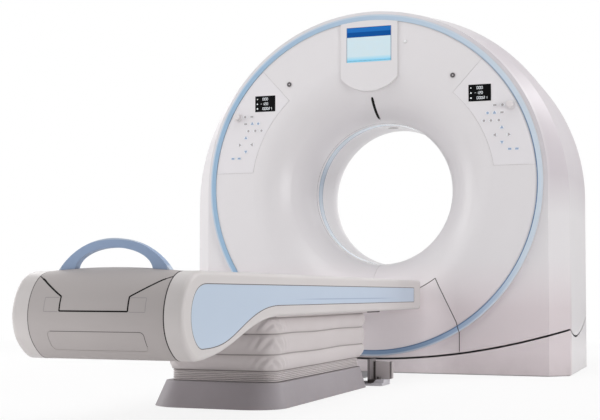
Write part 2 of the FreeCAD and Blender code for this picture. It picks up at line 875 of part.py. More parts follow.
def make_side_inlay():
    outline = inlay_outline(rail_outer - inlay_depth, seam)
    return Part.Face(outline).extrude(V(inlay_depth - 0.4, 0, 0))


def mirrored(half):
    # right half of a section and its mirror image, as one chain of (x, z) from rail_top
    return half + [(-x, z) for x, z in reversed(half)]


def from_rail(points):
    return [(x, rail_top + z) for x, z in points]


def step_prism(shift, y0, y1):
    # everything above the stepped split line, a positive shift moves it into the tail cap
    w = rail_inner - end_clearance
    half = [
        (w, step_edge + shift),
        (step_wing[0] - shift / 2, step_wing[1] + shift),
        (step_half_width - shift, step_knee + shift),
        (step_half_width - shift, step_foot + shift),
    ]
    above = 200.0
    return prism_y(from_rail([(w, above)] + mirrored(half) + [(-w, above)]), y0, y1)


def make_couch_frame():
    # extruded trough with two box sections under its shoulders
    c = channel_clearance
    t = channel_wall
    w = rail_inner
    foot = rail_foot - rail_top
    wing_x, wing_z = step_wing
    x = step_half_width + c
    outline = [(w, foot), (w, step_edge - c), (wing_x, wing_z - c),
               (x, step_knee - c), (x, step_foot - c)]
    body = prism_y(from_rail(mirrored(outline)), couch_end_y, couch_cap_y)
    cell = prism_y(from_rail([
        (w - t, foot + t), (w - t, step_edge - c - 14), (wing_x, wing_z - c - 12),
        (x + t, step_knee - c - 10), (x + t, foot + t),
    ]), couch_end_y, couch_cap_y)
    for hollow in both_sides(cell):
        body = body.cut(hollow)
    return body


def make_front_cap():
    w = rail_inner
    floor_x, floor_z = cradle_floor
    outline = [
        (w, rail_foot - rail_top), (w, cradle_edge - 1), (cradle_half_width, cradle_edge - 1),
        (cradle_knee[0], cradle_knee[1] - 1), (floor_x, floor_z - 0.5),
    ]
    nose = prism_y(from_rail(mirrored(outline)), couch_cap_y, couch_front_y - 2)
    x = step_half_width
    rear = couch_cap_y - glide_length
    seat = rail_top + step_foot
    top = rail_top + floor_z
    glide = box(-x, x, rear, couch_cap_y, seat - channel_clearance, top - 0.5)
    relief = box(30 - x, x - 30, rear, couch_cap_y, seat, top - 12)
    return merged([nose, glide]).cut(relief)


def make_under_cover():
    w = rail_inner
    edge, low, sweep = sweep_edge(-w)
    corner = V(-w, low.y, rail_foot)
    body = solid_of([edge, line(sweep, corner), line(corner, low)], V(2 * w, 0, 0))
    inner = body.translated(V(0, 0, skin))
    inner = inner.common(box(skin - w, w - skin, couch_end_y - 40, sweep.y - 32,
                             0, rail_foot + 20))
    return body.cut(inner).common(slab(couch_end_y, sweep.y))


def end_section(x, inset):
    # section of the end cover, crowned across its width
    t = x / (rail_inner - end_clearance)
    bulge = V(0, end_bulge * (t * t - 1), 0)
    top = rail_top + end_crown - end_bulge * t * t - inset
    rear = V(x, couch_end_y - 30 + inset, top)
    low = V(x, couch_end_y + end_low[0], rail_top + end_low[1] + inset)
    middle = [point + bulge + V(0, inset, 0) for point in couch_points(x, end_curve)]
    first = V(x, couch_end_y, top)
    low_front = V(x, couch_end_y, low.z)
    return Part.Wire([
        line(first, rear),
        spline([rear] + middle + [low], V(0, -1, 0), V(0, 1, 0)),
        line(low, low_front),
        line(low_front, first),
    ])


def end_solid(inset):
    w = rail_inner - end_clearance - inset
    sections = [end_section(w * k, inset) for k in (-1, -0.5, 0, 0.5, 1)]
    return Part.makeLoft(sections, True, False)


def make_end_cover():
    shell = end_solid(0).cut(end_solid(end_skin))
    shell = shell.cut(step_prism(-split_gap, couch_end_y - 300, couch_end_y))
    return shell.cut(socket_panel_groove())


def socket_panel_groove():
    # engraved outline of the connector panel in the lower part of the end cover
    ring = rounded_block(0, 14).cut(rounded_block(2, 12))
    return ring.cut(end_solid(1.5))


def rounded_block(inset, radius):
    half, z0, z1 = socket_panel
    depth = 300.0
    body = box(inset - half, half - inset, couch_end_y - 10 - depth, couch_end_y - 10,
               rail_top + z0 + inset, rail_top + z1 - inset)
    corners = [e for e in body.Edges if abs(e.BoundBox.YLength - depth) < 0.1]
    return body.makeFillet(radius, corners)


def make_bellows_clamp():
    w = rail_inner - 5
    rear = bellows_foot[1] - 20
    front = bellows_foot[2] - 15
    outer = box(-w, w, rear, couch_front_y - 595, bellows_top, rail_foot)
    inner = box(38 - w, w - 38, rear + 45, front, bellows_top, rail_foot)
    return outer.cut(inner)


def make_cradle_drive():
    motor = Part.makeCylinder(drive_radius, 170, V(-150, drive_y, rail_foot - 46), x_axis)
    gear = box(20, 130, drive_y - 55, drive_y + 55, rail_foot - 84, rail_foot)
    return merged([motor, gear])


# ---------------------------------------------------------------- cradle
def make_cradle_board():
    # dished board, its tip rounded in plan
    w = cradle_half_width
    tail = cradle_tail_y
    half = [(w, 0), (w, cradle_edge), cradle_knee, cradle_floor]
    chain = [V(x, tail, z) for x, z in from_rail(mirrored(half))]
    edges = [line(p, q) for p, q in zip(chain, chain[1:])]
    edges.append(arc(chain[-1], V(0, tail, rail_top + cradle_dip), chain[0]))
    board = solid_of(edges, V(0, cradle_tip_y - tail, 0))
    z0 = rail_foot
    z1 = rail_top + 20
    nose = Part.makeCylinder(w, z1 - z0, V(0, cradle_tip_y - w, z0), z_axis)
    tip = box(-w, w, cradle_tip_y - cradle_tip_length, cradle_tip_y, z0, z1).cut(nose)
    return board.cut(tip)


def make_tail_cap():
    return end_solid(0).common(step_prism(split_gap, couch_end_y - 300, cradle_tail_y))


def make_tail_handle(tail_cap):
    # circular bow outside, flatter half ellipse inside
    y = handle_y - handle_thickness / 2
    foot = rail_top + 1
    half, apex = handle_outer
    a = V(-half, y, foot)
    b = V(half, y, foot)
    along = V(0, handle_thickness, 0)
    bow = solid_of([arc(a, V(0, y, rail_top + apex), b), line(b, a)], along)
    half, apex = handle_inner
    centre = V(0, y, foot)
    ellipse = Part.Ellipse(V(half, y, foot), V(0, y, rail_top + apex), centre).toShape()
    opening = Part.Face(Part.Wire([ellipse])).extrude(along)
    return bow.cut(opening).cut(tail_cap)


def make_cradle_carriage():
    floor_x, floor_z = cradle_floor
    rear = couch_end_y
    front = rear + carriage_length
    seat = rail_top + step_foot
    plate = box(-floor_x, floor_x, rear, front, seat + 12, rail_top + floor_z)
    axle_z = seat - channel_clearance + wheel_radius + cover_gap
    wheels = [
        Part.makeCylinder(wheel_radius, 16, V(x, y, axle_z), x_axis)
        for x in (5 - floor_x, floor_x - 21) for y in (rear + 50, front - 50)
    ]
    return merged([plate] + wheels)


# ---------------------------------------------------------------- couch base, lift, bellows
def rounded_wire(half, rear, front, radius, z):
    k = radius * (1 - math.sqrt(0.5))
    r = radius
    return Part.Wire([
        line(V(-half + r, rear, z), V(half - r, rear, z)),
        arc(V(half - r, rear, z), V(half - k, rear + k, z), V(half, rear + r, z)),
        line(V(half, rear + r, z), V(half, front - r, z)),
        arc(V(half, front - r, z), V(half - k, front - k, z), V(half - r, front, z)),
        line(V(half - r, front, z), V(-half + r, front, z)),
        arc(V(-half + r, front, z), V(-half + k, front - k, z), V(-half, front - r, z)),
        line(V(-half, front - r, z), V(-half, rear + r, z)),
        arc(V(-half, rear + r, z), V(-half + k, rear + k, z), V(-half + r, rear, z)),
    ])


def grown(outline, extra):
    half, rear, front = outline
    return half + extra, rear - extra, front + extra


def make_base_cover():
    def block(inset, z0, z1):
        foot = rounded_wire(*grown(base_foot, -inset), base_corner - inset, z0)
        head = rounded_wire(*grown(base_head, -inset), base_head_corner - inset, z1)
        return Part.makeLoft([foot, head], True, True)

    shell = block(0, 0, base_height).cut(block(base_wall, -1, base_height - base_wall))
    rear = base_head[1] + 80
    front = base_head[2] - 80
    shell = shell.cut(box(-150, 150, rear, front, base_height - 40, base_height + 1))
    half = link_half_width + 1
    shell = shell.cut(box(-half, half, front, base_foot[2] + 20, -1, tie_plate + 1))
    tongue = box(bracket_tongue_x - 1, base_foot[0] + 5, base_foot[2] - plate_inset - 1,
                 base_foot[2] + 5, -1, base_plate + 1)
    for slot in both_sides(tongue):
        shell = shell.cut(slot)
    return shell


def make_base_plate():
    outline = rounded_wire(*grown(base_foot, -plate_inset), base_corner - plate_inset, 0)
    plate = Part.Face(outline).extrude(V(0, 0, base_plate))
    half = base_head[0] - base_wall - 5
    rear = column_ys[0] - 170
    front = column_ys[1] + 160
    ribs = [box(-half, half, y - 8, y + 8, base_plate, rib_height) for y in (rear, front)]
    ribs += both_sides(box(168, 180, rear, front, base_plate, rib_height))
    return merged([plate] + ribs)


def make_anchor_brackets():
    # outriggers in front of the base: tongue, foot, upright flange and block
    x0, x1 = bracket_x
    y0, y1 = bracket_y
    plate_front = base_foot[2] - plate_inset
    tongue = box(bracket_tongue_x, x1 - 14, plate_front, y1 - 10, 0, base_plate)
    foot = box(x0, x1 - 14, y0 - 60, y1 - 10, 0, 26)
    flange = box(x0, x0 + 12, y0 - 60, y1 - 25, 26, 116)
    block = box(x0 + 12, x1, y0, y1, 26, 104)
    return both_sides(merged([tongue, foot, flange, block]))


def make_anchor_bolts():
    bolts = []
    front, rear = pedestal_foot
    for side in (-1, 1):
        centre = V(side * (bracket_x[0] + 45), bracket_y[0] - 30, 26)
        bolts.append(Part.makeCylinder(9, 12, centre))
        for y in (column_ys[0] - 240, column_ys[1] + 100):
            bolts.append(Part.makeCylinder(9, 12, V(side * 120, y, base_plate)))
        for y in (front + 25, rear - 25):
            base = V(side * (pedestal_x0 - foot_flange / 2), y, rail_height + foot_plate)
            bolts.append(Part.makeCylinder(12, 16, base))
    return bolts


def make_columns(inset, z0):
    half = column_size / 2 - inset
    hollow = half - column_wall
    columns = []
    for y in column_ys:
        outer = box(-half, half, y - half, y + half, z0, z0 + column_height)
        bore = box(-hollow, hollow, y - hollow, y + hollow, z0 - 1, z0 + column_height + 1)
        columns.append(outer.cut(bore))
    return columns


def bellows_sections():
    # (outward offset, height) of each section, from the foot up
    rows = [(0.0, base_height)]
    start = base_height + 5
    pitch = (pleat_top - start) / pleat_count
    for i in range(pleat_count):
        rows.append((pleat_depth, start + pitch * (i + 0.5)))
        rows.append((0.0, start + pitch * (i + 1)))
    rows[-1] = (fold_crease_offset, pleat_top)
    for low, high in zip(fold_creases, fold_creases[1:]):
        for i in range(1, fold_steps + 1):
            t = i / fold_steps
            swell = math.sin(math.pi * t) ** 0.6 if 0 < t < 1 else 0.0
            offset = fold_crease_offset + (bellows_bulge - fold_crease_offset) * swell
            rows.append((offset, low + (high - low) * t))
    return rows


def bellows_wire(offset, z):
    # the first fold takes up all of the flare
    share = min(max((z - pleat_top) / (fold_creases[1] - pleat_top), 0), 1)
    half, rear, front = grown(bellows_foot, offset)
    front += bellows_flare * math.sin(math.pi / 2 * share)
    return rounded_wire(half, rear, front, bellows_corner + offset, z)


def make_bellows():
    body = Part.makeLoft([bellows_wire(*row) for row in bellows_sections()], True, True)
    middle = (pleat_top + fold_creases[1]) / 2
    heights = [base_height - 1, pleat_top, middle, fold_creases[1], bellows_top + 1]
    core = Part.makeLoft([bellows_wire(-bellows_wall, z) for z in heights], True, True)
    return body.cut(core)


# ---------------------------------------------------------------- write the pieces
os.makedirs("parts", exist_ok=True)

slit_piece = make_slit()
ceiling_piece = make_ceiling_window()
xray_piece = make_xray_tube()
cap_piece = make_tail_cap()
plinth = plinth_shell()

save("front_cover", make_front_cover(slit_piece))
save("laser_window", slit_piece)
save("lower_panel", make_lower_panel())
save("trim_ring", tube(ring_outer, ring_inner, ring_front_y, disc_back_y, 0, face_arch_z))
save("front_surround", make_front_surround())
save("arch_cover", make_arch_cover())
save("rear_cover", make_rear_cover())
save("scan_window", tube(bore_radius + window_wall, bore_radius, window_y0, window_y1))
save("bore_liner", make_bore_liner(ceiling_piece))
save("ceiling_window", ceiling_piece)
save("display_bezel", make_display_bezel())
save("display_screen", make_display_screen())
save_solids("control_panels", both_sides(make_control_panel()))
save_solids("status_displays", both_sides(make_status_display()))
save_solids("key_pads", make_key_pads())
save_solids("estop_collars", both_sides(make_estop_collar()))
save("estop_right", both_sides(make_estop_button())[0])
save("estop_left", both_sides(make_estop_button())[1])
save_solids("cover_locks", both_sides(make_cover_lock()))
save("indicator_lamp", make_indicator_lamp())

save("ring_frame", make_ring_frame())
save("bearing_outer_race", make_bearing_outer())
save("drive_motor", make_drive_motor())
save("motor_pulley", make_motor_pulley())
save("drive_belt", make_drive_belt())
save("rotor_drum", make_rotor_drum())
save("bearing_inner_race", make_bearing_inner())
save("slip_ring", make_slip_ring())
save("xray_tube", xray_piece)
save("tube_collimator", make_tube_collimator(xray_piece))
save_solids("hv_generators", make_hv_generators())
save("detector_arc", make_detector_arc())

save("base_frame", make_base_frame())
save_solids("tilt_pedestals", both_sides(make_pedestal()))
save("plinth_front", plinth.common(slab(before, corner_y)))
save_solids("plinth_sides", plinth.common(slab(corner_y, rear_band_y)).Solids)
save("plinth_rear", plinth.common(slab(rear_band_y, behind)))
save("floor_link", box(-link_half_width, link_half_width, base_foot[2] - plate_inset,
                       face_y + skin, 0, tie_plate))

save("couch_frame", make_couch_frame())
right_panel, left_panel = both_sides(make_side_panel())
save("side_panel_right", right_panel)
save("side_panel_left", left_panel)
save_solids("side_inlays", both_sides(make_side_inlay()))
save("front_cap", make_front_cap())
save("under_cover", make_under_cover())
save("end_cover", make_end_cover())
save("bellows_clamp", make_bellows_clamp())
save("cradle_drive", make_cradle_drive())
save("cradle_board", make_cradle_board())
save("tail_cap", cap_piece)
save("tail_handle", make_tail_handle(cap_piece))
save("cradle_carriage", make_cradle_carriage())

stage = column_wall + column_clearance
save("couch_base_cover", make_base_cover())
save("couch_base_plate", make_base_plate())
save_solids("anchor_brackets", make_anchor_brackets())
save_solids("anchor_bolts", make_anchor_bolts())
save_solids("lift_column_outer", make_columns(0, base_plate))
save_solids("lift_column_middle", make_columns(stage, base_plate + column_step))
save_solids("lift_column_inner", make_columns(2 * stage, rail_foot - column_height))
save("bellows", make_bellows())
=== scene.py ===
import json
import math

import bmesh
import bpy
import numpy as np
from mathutils import Euler, Matrix
from mathutils.bvhtree import BVHTree

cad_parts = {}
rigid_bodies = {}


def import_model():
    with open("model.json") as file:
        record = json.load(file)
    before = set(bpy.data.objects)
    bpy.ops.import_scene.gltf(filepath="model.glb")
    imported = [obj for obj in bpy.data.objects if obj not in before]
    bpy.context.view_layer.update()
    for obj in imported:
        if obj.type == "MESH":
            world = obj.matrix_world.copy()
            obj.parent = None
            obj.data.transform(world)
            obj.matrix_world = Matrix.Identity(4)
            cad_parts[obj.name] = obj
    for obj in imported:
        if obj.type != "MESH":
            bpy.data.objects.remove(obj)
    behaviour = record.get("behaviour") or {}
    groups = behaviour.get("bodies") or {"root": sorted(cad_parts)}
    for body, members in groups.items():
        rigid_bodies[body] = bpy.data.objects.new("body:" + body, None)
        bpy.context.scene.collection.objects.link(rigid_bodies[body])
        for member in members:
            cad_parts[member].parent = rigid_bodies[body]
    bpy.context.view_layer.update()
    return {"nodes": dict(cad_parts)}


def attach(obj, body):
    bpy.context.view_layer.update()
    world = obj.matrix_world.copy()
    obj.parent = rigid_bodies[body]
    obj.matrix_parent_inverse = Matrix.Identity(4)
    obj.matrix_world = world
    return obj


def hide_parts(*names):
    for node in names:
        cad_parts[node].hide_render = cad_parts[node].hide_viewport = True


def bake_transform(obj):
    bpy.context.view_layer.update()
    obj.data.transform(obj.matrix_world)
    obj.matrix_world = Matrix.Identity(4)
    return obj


for leftover in list(bpy.data.objects):
    bpy.data.objects.remove(leftover)

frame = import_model()
nodes = frame["nodes"]
print("frame loaded:", len(nodes), "nodes")


# mesh helpers: every new piece comes from whole arrays of points

def addThing(name, data):
    thing = bpy.data.objects.new(name, data)
    bpy.context.scene.collection.objects.link(thing)
    return thing


def meshFrom(name, points, faces, smooth=False):
    mesh = bpy.data.meshes.new(name)
    mesh.from_pydata(points.tolist(), [], faces)
    mesh.polygons.foreach_set("use_smooth", [smooth] * len(mesh.polygons))
    mesh.update()
    return addThing(name, mesh)


def faceOutwards(piece, fillEnds=False):
    shape = bmesh.new()
    shape.from_mesh(piece.data)
    if fillEnds:
        bmesh.ops.holes_fill(shape, edges=shape.edges)
    bmesh.ops.recalc_face_normals(shape, faces=shape.faces)
    shape.to_mesh(piece.data)
    shape.free()
    return piece


def gridSurface(name, points, wrapRows=False, smooth=True):
    # one quad between each four neighbours of a grid of points whose columns close on themselves
    rows, columns = points.shape[:2]
    index = np.arange(rows * columns).reshape(rows, columns)
    if wrapRows:
        index = np.vstack([index, index[:1]])
    index = np.hstack([index, index[:, :1]])
    corners = [index[:-1, :-1], index[:-1, 1:], index[1:, 1:], index[1:, :-1]]
    faces = np.stack(corners, axis=-1).reshape(-1, 4).tolist()
    return meshFrom(name, points.reshape(-1, 3), faces, smooth)


def flatPrisms(name, outlines, face, half):
    # each outline of (x, z) points becomes a thin plate, half to each side of the plane y = face
    points, faces = [], []
    for outline in outlines:
        outline = np.asarray(outline, float)
        x, z = outline.T
        if np.sum(x * np.roll(z, -1) - np.roll(x, -1) * z) < 0:
            outline = outline[::-1]  # counter-clockwise seen from the front
        count, start = len(outline), sum(len(block) for block in points)
        points += [np.insert(outline, 1, depth, axis=1) for depth in (face - half, face + half)]
        faces += [list(range(start, start + count)),
                  list(range(start + 2 * count - 1, start + count - 1, -1))]
        for i, j in zip(range(count), [*range(1, count), 0]):
            faces.append([start + j, start + i, start + count + i, start + count + j])
    return meshFrom(name, np.vstack(points), faces)


def rectangle(x, z, width, height):
    return [(x + side * width / 2, z + level * height / 2)
            for side, level in ((-1, -1), (1, -1), (1, 1), (-1, 1))]


def disc(x, z, radius, sides, turn=0.0):
    angle = turn + np.linspace(0, 2 * np.pi, sides, endpoint=False)
    return np.column_stack([x + radius * np.cos(angle), z + radius * np.sin(angle)])


def surfaceTree(names):
    points, faces = [], []
    for name in names.split():
        mesh, start = nodes[name].data, len(points)
        points += [tuple(vertex.co) for vertex in mesh.vertices]
        faces += [[start + i for i in polygon.vertices] for polygon in mesh.polygons]
    return BVHTree.FromPolygons(points, faces)


def resample(path, step):
    # even steps along a chain of points
    path = np.asarray(path, float)
    lengths = np.concatenate([[0], np.cumsum(np.linalg.norm(np.diff(path, axis=0), axis=1))])
    spots = np.linspace(0, lengths[-1], max(3, int(lengths[-1] / step)))
    return np.column_stack([np.interp(spots, lengths, path[:, i]) for i in range(path.shape[1])])


def unit(vectors):
    return vectors / np.linalg.norm(vectors, axis=1, keepdims=True)


def aroundLoop(points):
    return np.roll(points, -1, axis=0) - np.roll(points, 1, axis=0)


def place(piece, material, body):
    piece.data.materials.append(material)
    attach(piece, body)


# shader helpers

def sign(operation, turned=False):
    def apply(self, other):
        return self.maths(operation, *((other, self) if turned else (self, other)))
    return apply


class Field:
    # a shader socket that takes plain arithmetic: each sign adds one maths node

    def __init__(self, socket):
        self.socket, self.tree = socket, socket.id_data

    def maths(self, operation, *values):
        return Field(addNode(self.tree, "ShaderNodeMath", dict(enumerate(values)),
                             operation=operation).outputs[0])

    __add__, __mul__, larger = sign("ADD"), sign("MULTIPLY"), sign("MAXIMUM")
    __sub__, __rsub__ = sign("SUBTRACT"), sign("SUBTRACT", turned=True)
    __truediv__, __rtruediv__ = sign("DIVIDE"), sign("DIVIDE", turned=True)
    __pow__, __gt__, __lt__ = sign("POWER"), sign("GREATER_THAN"), sign("LESS_THAN")

    def __abs__(self):
        return self.maths("ABSOLUTE", self)

    def fraction(self):
        return self.maths("FRACT", self)

    def clamped(self):
        self.socket.node.use_clamp = True
        return self


def fill(node, inputs):
    for name, value in inputs.items():
        if isinstance(value, Field):
            value = value.socket
        if isinstance(value, bpy.types.NodeSocket):
            node.id_data.links.new(value, node.inputs[name])
        else:
            node.inputs[name].default_value = value
    return node


def addNode(tree, kind, inputs=None, **settings):
    node = tree.nodes.new(kind)
    for name, value in settings.items():
        setattr(node, name, value)
    return fill(node, inputs or {})


def linear(colour):
    # colours are written as they look on a screen, 0 to 255
    shown = np.array(colour) / 255
    light = np.where(shown <= 0.04045, shown / 12.92, ((shown + 0.055) / 1.055) ** 2.4)
    return (*light.tolist(), 1.0)


def blend(factor, first, second):
    # the first colour where the factor is 0, the second where it is 1
    first, second = [linear(colour) if isinstance(colour, tuple) else colour
                     for colour in (first, second)]
    node = addNode(factor.tree, "ShaderNodeMix", {0: factor, 6: first, 7: second},
                   data_type="RGBA")
    return Field(node.outputs[2])


def noise(coordinate, scale, detail=2.0, roughness=0.5):
    return Field(addNode(coordinate.tree, "ShaderNodeTexNoise", {
        "Vector": coordinate, "Scale": scale, "Detail": detail,
        "Roughness": roughness}).outputs[0])


def axes(coordinate):
    node = addNode(coordinate.tree, "ShaderNodeSeparateXYZ", {0: coordinate})
    return [Field(socket) for socket in node.outputs]


def distance(across, rise):
    # square root of across squared plus rise squared
    flat = addNode(across.tree, "ShaderNodeCombineXYZ", {"X": across, "Y": rise})
    return Field(addNode(across.tree, "ShaderNodeVectorMath", {0: flat.outputs[0]},
                         operation="LENGTH").outputs[1])


def ramp(value, start, end):
    # 0 at the start, 1 at the end
    return ((value - start) / (end - start)).clamped()


def within(value, half, softness=0.0006):
    # 1 where the value lies between -half and half
    return 1.0 - ramp(abs(value), half, half + softness)


def between(value, low, high, softness):
    return ramp(value, low, low + softness) * ramp(value, high, high - softness)


def leaning(value, gain, offset):
    return (value * gain + offset).clamped()


def newGroup(name, inputs, outputs):
    # one default makes a value socket, three make a vector and four a colour
    group = bpy.data.node_groups.new(name, "ShaderNodeTree")
    inputs = {"Coordinate": (0, 0, 0), **inputs}
    kinds = {1: "NodeSocketFloat", 3: "NodeSocketVector", 4: "NodeSocketColor"}
    for label, value in inputs.items():
        socket = group.interface.new_socket(name=label, in_out="INPUT",
                                            socket_type=kinds[np.size(value)])
        socket.default_value = value
    for label, size in outputs.items():
        group.interface.new_socket(name=label, in_out="OUTPUT", socket_type=kinds[size])
    entry, sink = addNode(group, "NodeGroupInput"), addNode(group, "NodeGroupOutput")
    return group, {label: Field(entry.outputs[label]) for label in inputs}, sink


skinLook = dict(drift=dict(scale=1.7, detail=3.0, roughness=0.55), start=0.35, gain=6.0,
                darker=(0.80, 0.78, 0.78, 1), grain=dict(detail=2.0, roughness=0.6), uneven=0.18)
# colour of the painted seam shade and of the floor dust, with the reach and rays of the occlusion
shadeAndDustLook = dict(colour=(120, 110, 106), reach=0.012, rays=6, fall=1.6,
                 patches=dict(scale=14.0, detail=4.0, roughness=0.65))


def buildMouldedSkin(look):
    # fine moulded or sprayed grain over a slow drift of tone
    group, source, sink = newGroup(
        "mouldedSkin", {"Colour": (1, 1, 1, 1), "Drift": 0.04, "Grain Size": 0.0015,
                        "Roughness": 0.4}, {"Colour": 4, "Roughness": 1, "Height": 1})
    slow = noise(source["Coordinate"], **look["drift"])
    tone = ((slow - look["start"]) * source["Drift"] * look["gain"]).clamped()
    darker = addNode(group, "ShaderNodeMix", {0: 1.0, 6: source["Colour"], 7: look["darker"]},
                     data_type="RGBA", blend_type="MULTIPLY").outputs[2]
    fill(sink, {"Colour": blend(tone, source["Colour"], darker),
                "Roughness": (source["Roughness"] + (slow - 0.5) * look["uneven"]).clamped(),
                "Height": noise(source["Coordinate"], 1.0 / source["Grain Size"],
                                **look["grain"])})
    return group


def buildSeamShadeAndDust(look):
    # painted shade: a little darkening where two covers meet, drawn from ambient occlusion, and
    # dust towards the floor
    group, source, sink = newGroup(
        "seamShadeAndDust", {"Colour": (1, 1, 1, 1), "Shade And Dust": linear(look["colour"]), "Seam": 0.5,
                      "Floor": 0.25, "Floor Reach": 0.12}, {"Colour": 4})
    nearness = Field(addNode(group, "ShaderNodeAmbientOcclusion", {"Distance": look["reach"]},
                             samples=look["rays"]).outputs["AO"])
    # painted shade where the covers meet
    crease = (((1.0 - nearness) ** look["fall"]).clamped() * source["Seam"]).clamped()
    height = axes(source["Coordinate"])[2]
    patchy = noise(source["Coordinate"], **look["patches"])
    fall = (1.0 - height / source["Floor Reach"]).clamped()
    dust = (fall * patchy * source["Floor"]).clamped()
    seamShaded = blend(crease, source["Colour"], source["Shade And Dust"])
    fill(sink, {"Colour": blend(dust, seamShaded, source["Shade And Dust"])})
    return group


def buildDrawnGrain():
    # long streaks along one axis, as on brushed, rolled or drawn metal
    group, source, sink = newGroup(
        "drawnGrain", {"Stretch": (400, 6, 400), "Roughness": 0.35, "Spread": 0.2},
        {"Roughness": 1, "Height": 1})
    stretched = addNode(group, "ShaderNodeVectorMath", {
        0: source["Coordinate"], 1: source["Stretch"]}, operation="MULTIPLY")
    streaks = noise(Field(stretched.outputs[0]), scale=1.0, detail=3.0, roughness=0.6)
    uneven = (streaks - 0.5) * source["Spread"]
    fill(sink, {"Roughness": (source["Roughness"] + uneven).clamped(), "Height": streaks})
    return group


mouldedSkin = buildMouldedSkin(skinLook)
seamShadeAndDust = buildSeamShadeAndDust(shadeAndDustLook)
drawnGrain = buildDrawnGrain()
print("shader groups built")


mouldedLook = dict(drift=0.05, grainSize=0.0016, grainDepth=0.00006, bump=0.6, seam=0.45,
                   floor=0.0, coat=0.0, coatRoughness=0.15, ior=1.46, specular=0.5)
metalLook = dict(spread=0.25, grainDepth=0.00003, bump=0.5, seam=0.5, floor=0.2)


def startMaterial(name):
    material = bpy.data.materials.new(name)
    material.use_nodes = True
    tree = material.node_tree
    tree.nodes.clear()
    shader = addNode(tree, "ShaderNodeBsdfPrincipled")
    addNode(tree, "ShaderNodeOutputMaterial", {0: shader.outputs[0]})
    return material, shader, Field(addNode(tree, "ShaderNodeTexCoord").outputs["Object"])


def finishShader(shader, inputs, height, depth, strength):
    bump = addNode(shader.id_data, "ShaderNodeBump", {
        "Height": height, "Distance": depth, "Strength": strength})
    fill(shader, {**inputs, "Normal": bump.outputs[0]})


def addSkin(coordinate, colour, look):
    return addNode(coordinate.tree, "ShaderNodeGroup", {
        "Coordinate": coordinate, "Colour": colour, "Drift": look["drift"],
        "Grain Size": look["grainSize"], "Roughness": look["roughness"]},
        node_tree=mouldedSkin).outputs


# painted shade at seams and dust towards the floor
def addShadeAndDust(coordinate, colour, look):
    return addNode(coordinate.tree, "ShaderNodeGroup", {
        "Coordinate": coordinate, "Colour": colour, "Seam": look["seam"],
        "Floor": look["floor"]}, node_tree=seamShadeAndDust).outputs["Colour"]


def mouldedMaterial(name, look, colour=None):
    # the colour may be a function that draws the tint from the place: x, y and z
    look = {**mouldedLook, **look}
    material, shader, coordinate = startMaterial(name)
    base = colour(*axes(coordinate)) if colour else linear(look["colour"])
    skin = addSkin(coordinate, base, look)
    finishShader(shader, {
        "Base Color": addShadeAndDust(coordinate, skin["Colour"], look),
        "Roughness": skin["Roughness"], "Coat Weight": look["coat"],
        "Coat Roughness": look["coatRoughness"], "IOR": look["ior"],
        "Specular IOR Level": look["specular"]},
        skin["Height"], look["grainDepth"], look["bump"])
    return material


def metalMaterial(name, look):
    look = {**metalLook, **look}
    material, shader, coordinate = startMaterial(name)
    grain = addNode(coordinate.tree, "ShaderNodeGroup", {
        "Coordinate": coordinate, "Stretch": look["stretch"], "Roughness": look["roughness"],
        "Spread": look["spread"]}, node_tree=drawnGrain).outputs
    finishShader(shader, {
        "Base Color": addShadeAndDust(coordinate, linear(look["colour"]), look),
        "Roughness": grain["Roughness"], "Metallic": 1.0},
        grain["Height"], look["grainDepth"], look["bump"])
    return material


def dress(names, name, look, *colour, make=mouldedMaterial):
    material = make(name, look, *colour)
    for node in names.split():
        nodes[node].material_slots[0].material = material


# plain finishes of the carried-over nodes: nodes, material and look

